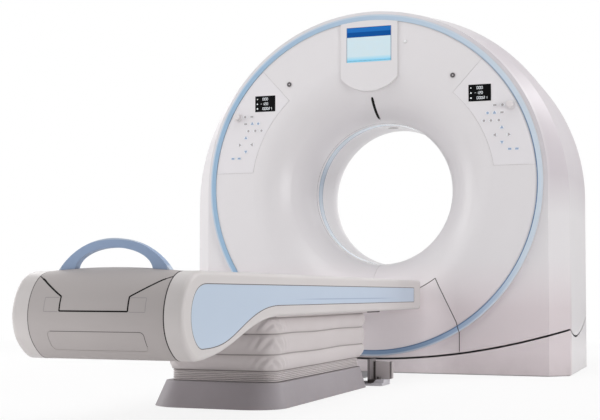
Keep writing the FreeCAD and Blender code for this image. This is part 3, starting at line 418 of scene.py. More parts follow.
mouldedFinishes = [
    ("side_panel_right side_panel_left front_cap under_cover", "couchPlastic",
     dict(colour=(208, 203, 202), drift=0.04, grainSize=0.0014, roughness=0.42, coat=0.05,
          seam=0.6)),
    ("end_cover tail_cap", "endPlastic",
     dict(colour=(183, 177, 176), grainSize=0.0013, roughness=0.56, specular=0.2, seam=0.7)),
    ("couch_base_cover", "basePlastic",
     dict(colour=(158, 152, 157), drift=0.09, grainSize=0.0022, grainDepth=0.00014,
          roughness=0.5, seam=0.7, floor=0.35)),
    ("key_pads", "keyMembrane",
     dict(colour=(238, 238, 242), drift=0.02, grainSize=0.0008, roughness=0.3, seam=0.5)),
    ("control_panels", "consolePlastic",
     dict(colour=(231, 228, 231), drift=0.02, grainSize=0.001, roughness=0.3, coat=0.15,
          seam=0.5)),
    ("estop_left estop_right", "stopHeadPlastic",
     dict(colour=(224, 219, 220), drift=0.04, grainSize=0.0008, roughness=0.3)),
    ("estop_collars", "stopCollarPlastic",
     dict(colour=(226, 222, 224), drift=0.03, grainSize=0.0009, roughness=0.35)),
    ("indicator_lamp", "lampLens",
     dict(colour=(240, 239, 241), drift=0.01, grainSize=0.0006, roughness=0.16, coat=0.5)),
    ("cradle_board", "boardGelcoat",
     dict(colour=(205, 203, 202), grainSize=0.0012, roughness=0.33, coat=0.3, seam=0.4)),
    ("hv_generators detector_arc cradle_carriage", "boxPaint",
     dict(colour=(160, 162, 166), drift=0.06, grainSize=0.0015, roughness=0.5, floor=0.2)),
    ("tilt_pedestals", "pedestalIron",
     dict(colour=(118, 121, 126), drift=0.1, grainSize=0.004, grainDepth=0.0004,
          roughness=0.62, floor=0.3)),
    ("ring_frame base_frame floor_link couch_base_plate", "framePaintGrey",
     dict(colour=(176, 178, 180), drift=0.08, grainSize=0.002, grainDepth=0.0001,
          roughness=0.48, floor=0.3)),
    ("drive_motor cradle_drive", "motorPaintBlack",
     dict(colour=(48, 49, 52), drift=0.1, grainSize=0.002, grainDepth=0.0002, roughness=0.5,
          floor=0.2)),
    ("drive_belt", "beltRubber",
     dict(colour=(34, 34, 36), drift=0.1, grainSize=0.001, roughness=0.72, floor=0.2)),
    ("ceiling_window", "ceilingPane",
     dict(colour=(150, 140, 144), grainSize=0.0008, roughness=0.6, specular=0.15, coat=0.4)),
    ("laser_window", "slitPane",
     dict(colour=(20, 19, 20), grainSize=0.0008, roughness=0.35, specular=0.15, seam=0.2)),
    ("status_displays", "statusGlassBlack",
     dict(colour=(9, 9, 11), drift=0.02, grainSize=0.0008, roughness=0.3, specular=0.12,
          seam=0.0)),
]
metalFinishes = [
    ("anchor_bolts", "boltSteelPlated",
     dict(colour=(104, 101, 101), roughness=0.62, stretch=(500, 500, 60))),
    ("bearing_outer_race bearing_inner_race", "bearingSteelGround",
     dict(colour=(170, 170, 172), roughness=0.22, stretch=(300, 900, 300))),
    ("lift_column_outer lift_column_middle lift_column_inner", "columnAlloyDrawn",
     dict(colour=(190, 191, 194), roughness=0.3, stretch=(420, 420, 5))),
    ("xray_tube tube_collimator", "tubeSteelRolled",
     dict(colour=(176, 174, 172), roughness=0.34, stretch=(300, 8, 300))),
    ("slip_ring", "slipBrassTurned",
     dict(colour=(196, 168, 104), roughness=0.28, stretch=(200, 700, 200))),
    ("motor_pulley rotor_drum couch_frame", "alloyMachined",
     dict(colour=(188, 190, 192), roughness=0.33, stretch=(300, 20, 300))),
]
for row in mouldedFinishes:
    dress(*row)
for row in metalFinishes:
    dress(*row, make=metalMaterial)
print("plain finishes assigned")


# gantry covers: painted light and shade on the front towards the floor and on the right outside
# the ring; the rear carries seams and vents

discZ, boreZ = 0.988, 0.963
cover = dict(colour=(228, 225, 227), drift=0.03, grainSize=0.0018, roughness=0.36, coat=0.12,
             seam=0.55, floor=0.3)
coverShadeTint = dict(warmShade=(229, 219, 222), fade=(0.60, 0.34), frontTo=-0.2, inner=(247, 238, 241),
                 outer=(217, 207, 210), spread=(0.30, 0.46))
shoulderShade = dict(colour=(209, 202, 207), radius=(0.893, 0.935), x=(0.30, 0.62), z=(0.82, 1.02))
rear = dict(behind=0.6485, seam=(120, 116, 118), seamHalf=0.0012, mouth=0.632,
            vent=(0.735, 0.475), ventHalf=(0.115, 0.13), slotPitch=0.018, slotShare=0.42,
            dark=(62, 60, 62), lock=(0.72, 1.44), lockRadius=0.013)


def coverShadedColour(x, y, z):
    # painted light and shade on the front towards the floor: warmer, lighter in the middle and
    # darker to the sides
    low = ramp(z, *coverShadeTint["fade"])
    spread = ramp(abs(x), *coverShadeTint["spread"])
    foot = blend(spread, coverShadeTint["inner"], coverShadeTint["outer"])
    front = y < coverShadeTint["frontTo"]
    frontShaded = blend(low * front, cover["colour"], blend(low, coverShadeTint["warmShade"], foot))
    # painted shade: the right side outside the ring, high up, is a little darker and pinker
    outside = ramp(distance(x, z - discZ), *shoulderShade["radius"])
    share = outside * ramp(x, *shoulderShade["x"]) * ramp(z, *shoulderShade["z"])
    return blend(share, frontShaded, shoulderShade["colour"])


def rearColour(x, y, z):
    rise, aside, back = z - boreZ, abs(x), y > rear["behind"]
    # service seams: upright over the mouth, level to both sides of it
    upright = within(x, rear["seamHalf"]) * (rise > 0.0)
    lines = upright.larger(within(rise, rear["seamHalf"]))
    lines = lines * (distance(x, rise) > rear["mouth"])
    # vents: a block of level slots to each side, low down, painted dark as the shade inside the
    # openings
    (ventX, ventZ), (halfX, halfZ) = rear["vent"], rear["ventHalf"]
    block = within(aside - ventX, halfX) * within(z - ventZ, halfZ)
    slots = block * ((z / rear["slotPitch"]).fraction() < rear["slotShare"])
    # one quarter-turn lock on each upper quarter
    lockX, lockZ = rear["lock"]
    locks = distance(aside - lockX, z - lockZ) < rear["lockRadius"]
    tint = blend(lines * back, cover["colour"], rear["seam"])
    return blend(slots.larger(locks) * back, tint, rear["dark"])


dress("front_cover lower_panel front_surround arch_cover bore_liner plinth_front plinth_sides "
      "plinth_rear display_bezel", "coverPlastic", cover, coverShadedColour)
dress("rear_cover", "rearCoverPlastic", cover, rearColour)


# tail handle, bellows clamp, brackets and locks, each painted by place, with a painted highlight
# on the handle and painted shade on the brackets

# rim is the colour of the painted highlight along the handle's outer edge
hoop = dict(colour=(152, 173, 205), grainSize=0.0011, roughness=0.4, seam=0.4, half=0.187,
            rise=0.099, foot=0.481, rim=(196, 209, 226), highlightAt=(0.945, 0.965))
clamp = dict(grainSize=0.001, roughness=0.5, pale=(176, 170, 169), dark=(74, 68, 68),
             darkFrom=-1.235)
# dark is the colour of the painted shade in the gap, at the block's end and on the boot
bracket = dict(drift=0.08, grainSize=0.0012, roughness=0.45, specular=0.4, floor=0.2,
               foot=(206, 204, 210), flange=(132, 126, 128), block=(180, 173, 174),
               dark=(46, 42, 42), footTop=0.0262, flangeTo=0.2416, gapTo=0.2515, endFrom=0.3172,
               endTo=-1.168, bootTo=0.2455, bootLean=0.9, bootFrom=0.010)
lock = dict(drift=0.02, grainSize=0.0006, roughness=0.4, specular=0.3, x=0.4460, z=1.5420,
            pale=(206, 203, 205), dark=(88, 82, 86), middle=0.0042, rim=0.0125)


def hoopColourWithHighlight(x, y, z):
    # painted highlight: a paler rim where the square root of (x / half)^2 + ((z - foot) / rise)^2
    # comes near 1
    out = distance(x / hoop["half"], (z - hoop["foot"]) / hoop["rise"])
    return blend(ramp(out, *hoop["highlightAt"]), hoop["colour"], hoop["rim"])


def clampColour(x, y, z):
    # pale over the bellows, dark where the frame runs on in front of them
    return blend(y > clamp["darkFrom"], clamp["pale"], clamp["dark"])


def bracketColourAndShade(x, y, z):
    # pale foot, dark upright flange, grey block
    aside = abs(x)
    outside = aside > bracket["flangeTo"]
    upper = blend(outside, bracket["flange"], bracket["block"])
    # painted shade: the gap beside the flange, the block's outer end and the boot are darkened
    # where they lie in shadow
    gap = outside * (aside < bracket["gapTo"])
    end = (aside > bracket["endFrom"]) * (y < bracket["endTo"])
    upper = blend(gap.larger(end), upper, bracket["dark"])
    boot = (aside - z * bracket["bootLean"] < bracket["bootTo"]) * (z > bracket["bootFrom"])
    foot = blend(boot, bracket["foot"], bracket["dark"])
    return blend(z > bracket["footTop"], foot, upper)


def lockColour(x, y, z):
    # a dark groove between the pale middle and the pale rim of the nearer lock
    radius = distance(abs(x) - lock["x"], z - lock["z"])
    pale = ((radius < lock["middle"]) + (radius > lock["rim"])).clamped()
    return blend(pale, lock["dark"], lock["pale"])


dress("tail_handle", "handlePlastic", hoop, hoopColourWithHighlight)
dress("bellows_clamp", "clampFrame", clamp, clampColour)
dress("anchor_brackets", "bracketPaint", bracket, bracketColourAndShade)
dress("cover_locks", "lockTurned", lock, lockColour)


# trim ring: pale blue, with a painted sheen lighter to the right, painted shade to the left and
# towards the foot, a dark line along its inner edge shown as painted shade where the edge faces
# away, and a whiter outer edge

# left, right and foot carry painted sheen and shade; line is painted shade
ring = dict(drift=0.03, grainSize=0.0012, roughness=0.3, coat=0.2, seam=0.5, floor=0.2,
            left=(152, 184, 212), right=(206, 218, 230), sheenSideways=(0.55, 0.45),
            foot=(132, 158, 192), shadowDownwards=(-1.7, -0.75), fringe=(208, 217, 228),
            fringeAt=(0.8925, 0.8965), fringeShare=0.75, line=(92, 124, 164),
            lineAt=(0.8772, 0.8757), lineShadeShown=(0.6, 0.45))


def ringColourWithSheenAndShade(x, y, z):
    rise = z - discZ
    radius = distance(x, rise)
    # painted sheen and shade: the tone drifts with the direction from the ring's centre: -1 left
    # to 1 right
    aside, above = x / radius, rise / radius
    core = blend(leaning(aside, *ring["sheenSideways"]), ring["left"], ring["right"])
    # painted shadow: darker towards the foot
    core = blend(leaning(above, *ring["shadowDownwards"]), core, ring["foot"])
    core = blend(ramp(radius, *ring["fringeAt"]) * ring["fringeShare"], core, ring["fringe"])
    # the dark inner line is painted shade, strongest to the right and at the foot
    shown = leaning(aside - above, *ring["lineShadeShown"])
    return blend(ramp(radius, *ring["lineAt"]) * shown, core, ring["line"])


dress("trim_ring", "ringPlastic", ring, ringColourWithSheenAndShade)


# side inlays with one long shallow finger groove drawn as a painted shade line, and the scan
# window with a line at each edge

inlay = dict(colour=(188, 203, 221), drift=0.04, grainSize=0.0012, roughness=0.34, coat=0.1,
             seam=0.5, grooveZ=0.392, grooveHalf=0.003, grooveMiddle=-1.70, grooveReach=0.75,
             grooveFade=3.0, dark=(138, 160, 190))
scanFilm = dict(drift=0.03, grainSize=0.0009, roughness=0.22, coat=0.3, seam=0.4, middle=0.018,
                film=(166, 184, 204), edge=(118, 136, 160), edgeAt=(0.028, 0.030))


def inlayColourWithGrooveShade(x, y, z):
    # painted shade along the finger groove, which has no depth
    across = (1.0 - abs(z - inlay["grooveZ"]) / inlay["grooveHalf"]).clamped()
    left = inlay["grooveReach"] - abs(y - inlay["grooveMiddle"])
    along = (left * inlay["grooveFade"]).clamped()
    return blend(across * along, inlay["colour"], inlay["dark"])


def scanFilmColour(x, y, z):
    edge = ramp(abs(y - scanFilm["middle"]), *scanFilm["edgeAt"])
    return blend(edge, scanFilm["film"], scanFilm["edge"])


dress("side_inlays", "inlayPlastic", inlay, inlayColourWithGrooveShade)
dress("scan_window", "scanFilm", scanFilm, scanFilmColour)


# gantry screen: header, pale work area and footer drawn from the height on the glass

screen = dict(foot=1.639, height=0.186, glow=0.2, specular=0.15, soft=0.004,
              body=(198, 214, 219), haze=(190, 218, 236), hazeScale=26.0, hazeShare=0.35,
              footer=(132, 200, 228), footerAt=(0.17, 0.05), header=(8, 74, 144),
              headerAt=(0.715, 0.719), strip=(40, 120, 198), stripAt=(0.86, 0.985),
              stripShare=0.55, marks=(60, 86, 120), marksAt=(0.02, 0.05), marksScale=46.0,
              marksOver=0.6, marksShare=0.6, edge=(96, 120, 150), edgeAt=(0.1195, 0.1189),
              roughness=0.3, uneven=0.05)


def glow(shader, tint, strength, roughness):
    fill(shader, {"Base Color": tint, "Emission Color": tint, "Emission Strength": strength,
                  "Roughness": roughness})


def screenMaterial(name, look):
    material, shader, coordinate = startMaterial(name)
    x, y, z = axes(coordinate)
    level = (z - look["foot"]) / look["height"]
    haze = noise(coordinate, look["hazeScale"])
    tint = blend(haze * look["hazeShare"], look["body"], look["haze"])
    tint = blend(ramp(level, *look["footerAt"]), tint, look["footer"])
    tint = blend(ramp(level, *look["headerAt"]), tint, look["header"])
    strip = between(level, *look["stripAt"], look["soft"])
    tint = blend(strip * look["stripShare"], tint, look["strip"])
    dashes = addNode(coordinate.tree, "ShaderNodeTexWave", {
        "Vector": coordinate, "Scale": look["marksScale"]}, wave_type="BANDS", bands_direction="X")
    marks = Field(dashes.outputs[1]) > look["marksOver"]
    marks = marks * between(level, *look["marksAt"], look["soft"])
    tint = blend(marks * look["marksShare"], tint, look["marks"])
    tint = blend(ramp(abs(x), *look["edgeAt"]), look["edge"], tint)
    glow(shader, tint, look["glow"], haze * look["uneven"] + look["roughness"])
    fill(shader, {"Specular IOR Level": look["specular"]})
    return material


dress("display_screen", "screenGlass", screen, make=screenMaterial)
print("screens and windows done")


# status displays: rows of plain seven-bar numbers with a small mark at the start of each

status = dict(x=0.585, z=1.444, face=-0.3771, half=0.0003, rows=["000", "-120", "00021"],
              rowPitch=0.026, height=0.0125, width=0.0072, pitch=0.0112, bar=0.0016,
              left=-0.011, markAt=-0.045, markSize=0.0045, colour=(232, 236, 240), glow=0.42,
              flickerScale=300.0, flickerShare=0.25, dimmed=0.8, roughness=0.4)
barsOf = {"0": "abcdef", "1": "bc", "2": "abged", "-": "g"}
barSpots = {"a": (0, 2), "b": (1, 1), "c": (1, -1), "d": (0, -2), "e": (-1, -1), "f": (-1, 1),
            "g": (0, 0)}  # in half widths and quarter heights


def digitBars(character, x, z):
    width, height, bar = status["width"], status["height"], status["bar"]
    for side, level in (barSpots[name] for name in barsOf[character]):
        size = (bar, height / 2) if side else (width, bar)
        yield rectangle(x + side * width / 2, z + level * height / 4, *size)


def statusOutlines(side):
    outlines = []
    centre = side * status["x"]
    for row, text in enumerate(status["rows"]):
        z = status["z"] + (1 - row) * status["rowPitch"]
        start = centre + status["left"] - status["pitch"] * (text[0] == "-")
        for i, character in enumerate(text):
            outlines += digitBars(character, start + i * status["pitch"], z)
        outlines.append(disc(centre + status["markAt"], z, status["markSize"], 3 + row))
    return outlines


def glowMaterial(name, look):
    material, shader, coordinate = startMaterial(name)
    flicker = noise(coordinate, look["flickerScale"])
    dimmed = tuple(part * look["dimmed"] for part in look["colour"])
    tint = blend(flicker * look["flickerShare"], look["colour"], dimmed)
    glow(shader, tint, look["glow"], look["roughness"])
    return material


digits = flatPrisms("statusDigits", statusOutlines(1) + statusOutlines(-1), status["face"],
                    status["half"])
place(digits, glowMaterial("digitGlow", status), "gantry")


# symbols printed on the membrane keys: arrows, bars and dots, blue or grey

keys = dict(face=-0.3776, half=0.0002, size=0.0108, dot=0.62, dotSides=16, bar=(1.6, 0.95),
            inks={"blue": (158, 178, 206), "grey": (178, 172, 174)}, grainSize=0.0005,
            roughness=0.45, seam=0.0)
keyMarks = {
    "blue": [(0.625, 1.337, "dot"), (0.660, 1.337, "up"), (0.697, 1.260, "up"),
             (0.697, 1.186, "down"), (0.736, 1.149, "bar"), (0.772, 1.149, "bar")],
    "grey": [(0.662, 1.376, "bar"), (0.701, 1.376, "dot"), (0.698, 1.337, "bar"),
             (0.606, 1.298, "dot"), (0.642, 1.298, "dot"), (0.682, 1.298, "dot"),
             (0.662, 1.223, "left"), (0.732, 1.223, "right")],
}
arrowTurn = {"up": 90, "down": -90, "left": 180, "right": 0}


def keyOutline(x, z, kind):
    size = keys["size"]
    if kind == "dot":
        return disc(x, z, size * keys["dot"], keys["dotSides"])
    if kind == "bar":
        return rectangle(x, z, *(size * share for share in keys["bar"]))
    return disc(x, z, size, 3, math.radians(arrowTurn[kind]))


for tone, marks in keyMarks.items():
    outlines = [keyOutline(side * x, z, kind) for side in (1, -1) for x, z, kind in marks]
    symbols = flatPrisms("keySymbols-" + tone, outlines, keys["face"], keys["half"])
    ink = mouldedMaterial("keyInk-" + tone, {**keys, "colour": keys["inks"][tone]})
    place(symbols, ink, "gantry")
print("keys and displays done")


# dark seams: beads laid over the open seams between covers

seams = dict(
    panel=dict(corner=(0.3484, 0.4934), top=0.3794, knee=(0.4574, 0.271), side=(0.4714, 0.223),
               foot=0.1, width=0.0042, step=0.004, samples=40, rayFrom=-0.7),
    slit=dict(foot=1.3585, top=1.4600, width=0.0145, step=0.003, taper=0.7, taperPower=12,
              rayFrom=-0.7),
    throat=dict(y=-0.056, reach=0.30, width=0.0055, samples=360),
    split=dict(path=[(0.2205, 0.4627), (0.195, 0.452), (0.112, 0.403), (0.112, 0.360)],
               width=0.0046, step=0.003, rayFrom=-3.8),
    socket=dict(half=0.158, foot=0.244, top=0.300, corner=0.013, width=0.0022, openLeft=0.01,
                step=0.003, samples=8, lift=0.0002, rayFrom=-3.8),
    hatch=dict(x=(0.117, 0.166), z=(0.358, 0.400), width=0.0014, step=0.004, lift=0.0002,
               rayFrom=-3.8),
    border=dict(x=0.22225, centre=(-3.29, 0.345), reach=0.36, turn=(86, 268), samples=150,
                sides=(("Right", 1, 0.0034, "sealDark"), ("Left", -1, 0.0024, "sealGrey"))),
    inlay=dict(plane=0.2806, tolerance=2e-5, outside=0.0006, width=0.0026, step=0.006,
               rayFrom=0.35))
seal = dict(drift=0.03, grainSize=0.0008, roughness=0.7, specular=0.2, seam=0.0)
seals = {name: mouldedMaterial(name, {**seal, **look}) for name, look in {
    "sealPale": dict(colour=(152, 147, 149)), "sealDark": dict(colour=(70, 65, 66)),
    "sealBlack": dict(colour=(26, 24, 24), specular=0.15),
    "sealGrey": dict(colour=(112, 107, 107))}.items()}
bothSides = (("Right", 1), ("Left", -1))


def layBead(name, tree, path, width, seal, body="couch", slot="belt_rubber", closed=False,
            lift=0.0003, depth=0.0012, jump=0.006):
    # a ribbon laid over a seam: rays on both sides of the path find the two covers, and the
    # ribbon spans the hits, a hair in front of them, except where the covers part by a jump
    starts, headings = path
    tangent = aroundLoop(starts) if closed else np.gradient(starts, axis=0)
    across = unit(np.cross(tangent, headings))
    spread = np.broadcast_to(np.reshape(width, (-1, 1)), (len(starts), 1)) / 2

    def landing(origins):
        hits = [tree.ray_cast(start, heading)[0] for start, heading in
                zip(origins.tolist(), headings.tolist())]
        return np.array([tuple(hit) if hit else (np.nan,) * 3 for hit in hits])

    left, right = landing(starts - across * spread), landing(starts + across * spread)
    kept = np.abs(np.sum((left - right) * headings, axis=1)) < jump
    left, right, headings = left[kept], right[kept], headings[kept]
    points = np.stack([left - headings * lift, right - headings * lift,
                       right + headings * depth, left + headings * depth], axis=1)
    piece = gridSurface(name, points, wrapRows=closed, smooth=False)
    place(faceOutwards(piece, fillEnds=not closed), seals[seal], body)


def bothHalves(half):
    return half + [(-x, z) for x, z in reversed(half)]


def frontPath(path, look):
    flat = resample(path, look["step"])
    return (np.insert(flat, 1, look["rayFrom"], axis=1),
            np.tile([0.0, 1.0, 0.0], (len(flat), 1)))


def layFlat(name, tree, path, look, seal, **more):
    layBead(name, tree, frontPath(path, look), look["width"], seal, **more)


def panelPath():
    look = seams["panel"]
    (cornerX, cornerZ), low = look["corner"], look["top"]
    # circle through both corners and the low middle
    radius = (cornerX ** 2 + (cornerZ - low) ** 2) / (2 * (cornerZ - low))
    x = np.linspace(cornerX, 0, look["samples"])
    z = low + radius - np.sqrt(radius ** 2 - x ** 2)
    side = [(look["side"][0], look["foot"]), look["side"], look["knee"]]
    return bothHalves(side + list(zip(x.tolist(), z.tolist())))


def layGantrySeams():
    fronts = surfaceTree("front_cover lower_panel front_surround trim_ring laser_window")
    look = seams["panel"]
    layFlat("panelSeam", fronts, panelPath(), look, "sealDark", body="gantry")
    look = seams["slit"]
    path = frontPath([(0, look["foot"]), (0, look["top"])], look)
    share = np.linspace(-1, 1, len(path[0]))
    width = look["width"] * (1 - look["taper"] * share ** look["taperPower"])
    layBead("laserSlitFilm", fronts, path, width, "sealBlack", "gantry", "window_dark")
    look = seams["throat"]
    turn = np.linspace(0, 2 * np.pi, look["samples"], endpoint=False)
    outwards = np.column_stack([np.cos(turn), 0 * turn, np.sin(turn)])
    starts = np.array([0, look["y"], boreZ]) + outwards * look["reach"]
    layBead("throatSeam", surfaceTree("front_cover bore_liner scan_window"),
            (starts, outwards), look["width"], "sealPale", "gantry", "window_grey", closed=True)


def layEndSeams():
    ends = surfaceTree("end_cover tail_cap side_panel_left side_panel_right")
    look = seams["split"]
    layFlat("tailSplitSeam", ends, bothHalves(look["path"]), look, "sealBlack")
    look = seams["socket"]
    turn = np.linspace(0, np.pi / 2, look["samples"])
    half, top, corner = look["half"], look["top"], look["corner"]
    x = half - corner + corner * np.sin(turn)
    z = top - corner + corner * np.cos(turn)
    path = [(-half + look["openLeft"], top), *zip(x.tolist(), z.tolist()),
            (half, look["foot"] + corner)]
    layFlat("socketPanelSeam", ends, path, look, "sealGrey", lift=look["lift"])
    look = seams["hatch"]
    (inner, outer), (foot, top) = look["x"], look["z"]
    for label, side in bothSides:
        corners = [(side * inner, top), (side * outer, top), (side * outer, foot),
                   (side * inner, foot)]
        layFlat("hatchSeam" + label, ends, corners, look, "sealPale", lift=look["lift"])
    look = seams["border"]
    turn = np.radians(np.linspace(*look["turn"], look["samples"]))
    outwards = np.column_stack([0 * turn, np.cos(turn), np.sin(turn)])
    for label, side, width, seal in look["sides"]:
        middle = np.array([side * look["x"], *look["centre"]])
        layBead("endBorderSeam" + label, ends, (middle + outwards * look["reach"], -outwards),
                width, seal)


def outlineOf(mesh, side):
    # the boundary of the flat outer face: edges that only one of its polygons has
    look = seams["inlay"]
    onPlane = {vertex.index for vertex in mesh.vertices
               if abs(vertex.co.x * side - look["plane"]) < look["tolerance"]}
    edges = [edge for polygon in mesh.polygons if onPlane.issuperset(polygon.vertices)
             for edge in polygon.edge_keys]
    following = {}
    for a, b in edges:
        if edges.count((a, b)) == 1:
            following.setdefault(a, []).append(b)
            following.setdefault(b, []).append(a)
    chain, before = [next(iter(following))], None
    while True:
        ahead = [i for i in following[chain[-1]] if i != before]
        before = chain[-1]
        if not ahead or ahead[0] == chain[0]:
            break
        chain.append(ahead[0])
    return np.array([tuple(mesh.vertices[i].co) for i in chain + chain[:1]])


def layInlaySeams():
    sides = surfaceTree("side_inlays side_panel_left side_panel_right")
    look = seams["inlay"]
    for label, side in bothSides:
        loop = resample(outlineOf(nodes["side_inlays"].data, side), look["step"])[:-1]
        outward = unit(np.cross(aroundLoop(loop), [1.0, 0, 0]))
        if np.sum(outward * (loop - loop.mean(axis=0))) < 0:
            outward = -outward
        starts = loop + outward * look["outside"]
        starts[:, 0] = side * look["rayFrom"]
        headings = np.tile([-float(side), 0.0, 0.0], (len(starts), 1))
        layBead("inlaySeam" + label, sides, (starts, headings), look["width"], "sealGrey",
                closed=True)


layGantrySeams()
layEndSeams()
layInlaySeams()
print("seam beads laid")


# bellows: coated cloth in three slack folds over a stack of fine pleats

bellows = dict(halfWidth=0.205, rear=-2.455, front=-1.315, flare=0.070, corner=0.048,
               foot=0.0902, pleatTop=0.130, top=0.3255, creases=(0.130, 0.190, 0.265, 0.3255),
               pleats=6, pleatDepth=0.005, pleatPower=1.5, creaseOffset=0.006, bulge=0.019,
               wall=0.003, columns=360, rows=(36, 26, 26, 26), fineSteps=4000,
               cornerReach=0.11, cornerShare=4.0, bellyLean=1.15, bellyPower=0.62,
               sag=0.0015, sagWaves=5, sagPhase=0.4, sagFade=0.05)
creasing = dict(reach=0.075, pitch=0.034, slant=1.4, shift=0.37, pinch=0.28, pucker=0.33,
                fall=0.4, longWave=0.10, longCount=3, longPhase=1.7, shortWave=0.07,
                shortCount=11, shortPhase=0.6)
pleatPitch = (bellows["pleatTop"] - bellows["foot"]) / bellows["pleats"]


def cornerDistance(along, starts):
    # way along the outline to the middle of the nearest rounded corner
    total = starts[-1]
    middles = (starts[1::2][:4] + starts[2::2][:4]) / 2
    apart = (along[:, None] - middles + total / 2) % total - total / 2
    return np.min(np.abs(apart), axis=1)


def roundedOutline(front):
    # points and outward normals round a rectangle with rounded corners, closer at the corners
    half, rearY, radius = bellows["halfWidth"], bellows["rear"], bellows["corner"]
    inX, inFront, inRear = half - radius, front - radius, rearY + radius
    turn = math.pi / 2 * radius
    lengths = np.array([inFront - inRear, turn, 2 * inX, turn] * 2)
    starts = np.concatenate([[0], np.cumsum(lengths)])
    fine = np.linspace(0, starts[-1], bellows["fineSteps"])
    nearness = np.exp(-(cornerDistance(fine, starts) / bellows["cornerReach"]) ** 2)
    density = np.cumsum(1 + bellows["cornerShare"] * nearness)
    even = np.linspace(density[0], density[-1], bellows["columns"], endpoint=False)
    along = np.interp(even, density, fine)
    piece = np.searchsorted(starts, along, side="right") - 1
    share = (along - starts[piece]) / lengths[piece]
    quarter, isArc = piece // 2, piece % 2 == 1
    heading = np.where(isArc, quarter + share, quarter) * math.pi / 2
    normal = np.column_stack([np.cos(heading), np.sin(heading)])
    centres = np.array([[inX, inFront], [-inX, inFront], [-inX, inRear], [inX, inRear]])
    begins = np.roll(centres, 1, axis=0)
    run = begins[quarter] + (centres[quarter] - begins[quarter]) * share[:, None]
    core = np.where(isArc[:, None], centres[quarter], run)
    return core + radius * normal, normal, along, starts


def bellowsOffset(along, starts, heights):
    # outward offset of the cloth. A pleat: depth * (1 - |2 * phase - 1|^power). A fold:
    # offset + bulge * sin(pi * share^lean)^power * (1 + two waves round it + crumple at corners)
    z, look = heights[:, None], creasing
    phase = (z - bellows["foot"]) / pleatPitch % 1
    pleat = bellows["pleatDepth"] * (1 - np.abs(2 * phase - 1) ** bellows["pleatPower"])
    turn = 2 * np.pi * along[None, :] / starts[-1]
    apart = cornerDistance(along, starts)[None, :]
    atCorner = np.exp(-(apart / look["reach"]) ** 2)
    surface = np.zeros((len(heights), len(along)))
    for number, (low, high) in enumerate(zip(bellows["creases"], bellows["creases"][1:])):
        share = np.clip((z - low) / (high - low), 0, 1)
        belly = np.sin(np.pi * share ** bellows["bellyLean"]) ** bellows["bellyPower"]
        wave = look["longWave"] * np.sin(turn * (look["longCount"] + number)
                                         + look["longPhase"] * number)
        wave = wave + look["shortWave"] * np.sin(turn * (look["shortCount"] + 2 * number)
                                                 + look["shortPhase"] + number)
        pucker = np.sin(2 * np.pi * (apart / look["pitch"] + look["slant"] * share
                                     + look["shift"] * number))
        depth = look["pucker"] * pucker * (1 - look["fall"] * share) - look["pinch"]
        crumple = atCorner * depth * np.sin(np.pi * share)
        reach = (bellows["bulge"] - bellows["creaseOffset"]) * belly * (1 + wave + crumple)
        surface = np.where((z >= low) & (z <= high), bellows["creaseOffset"] + reach, surface)
    return np.where(z <= bellows["pleatTop"], pleat, surface)


def flaredFront(height):
    # above the pleats the front reaches forward: flare * sin(pi / 2 * share of the first fold)
    low, high = bellows["creases"][:2]
    share = min(max((height - low) / (high - low), 0), 1)
    return bellows["front"] + bellows["flare"] * math.sin(math.pi / 2 * share)


def makeBellows():
    creases = bellows["creases"]
    stretches = zip((bellows["foot"], *creases), creases, bellows["rows"])
    heights = np.concatenate([np.linspace(*stretch, endpoint=False) for stretch in stretches]
                             + [[bellows["top"]]])
    loops = [roundedOutline(flaredFront(height)) for height in heights]
    outlines, normals = (np.array([loop[i] for loop in loops]) for i in (0, 1))
    along, starts = loops[-1][2:]
    offset = bellowsOffset(along, starts, heights)
    sag = bellows["sag"] * np.sin(2 * np.pi * along / starts[-1] * bellows["sagWaves"]
                                  + bellows["sagPhase"])[None, :]
    lift = (np.clip((heights - bellows["pleatTop"]) / bellows["sagFade"], 0, 1)
            * np.clip((bellows["top"] - heights) / bellows["sagFade"], 0, 1))
    levels = heights[:, None] + sag * lift[:, None]

    def layer(inward):
        flat = outlines + normals * (offset - inward)[..., None]
        return np.concatenate([flat, levels[..., None]], axis=-1)

    points = np.concatenate([layer(0.0), layer(bellows["wall"])[::-1]])
    piece = gridSurface("bellowsCloth", points, wrapRows=True)
    # the cloth's own map: way round it, and height
    around = np.append(along, starts[-1])
    rows = np.concatenate([heights, heights[::-1], heights[:1]])
    grid = np.stack(np.meshgrid(around, rows), axis=-1)
    corners = np.stack([grid[:-1, :-1], grid[:-1, 1:], grid[1:, 1:], grid[1:, :-1]], axis=2)
    clothMap = piece.data.uv_layers.new(name="cloth")
    clothMap.data.foreach_set("uv", corners.reshape(-1).astype(np.float32))
    return piece


# valley and crease colours are painted shade
clothLook = dict(colour=(206, 199, 199), drift=0.07, grainSize=0.0011, roughness=0.5,
                 valley=(112, 106, 104), valleyAt=(0.34, 0.48), valleyShare=0.8,
                 crease=(128, 121, 119), creaseHalf=0.0008, creaseSoft=0.0028, creaseShadeShare=0.75,
                 weave=dict(scale=900.0, detail=1.0), weaveShare=0.03,
                 clouds=dict(scale=9.0, detail=4.0), relief=0.0012, reliefStrength=0.35)


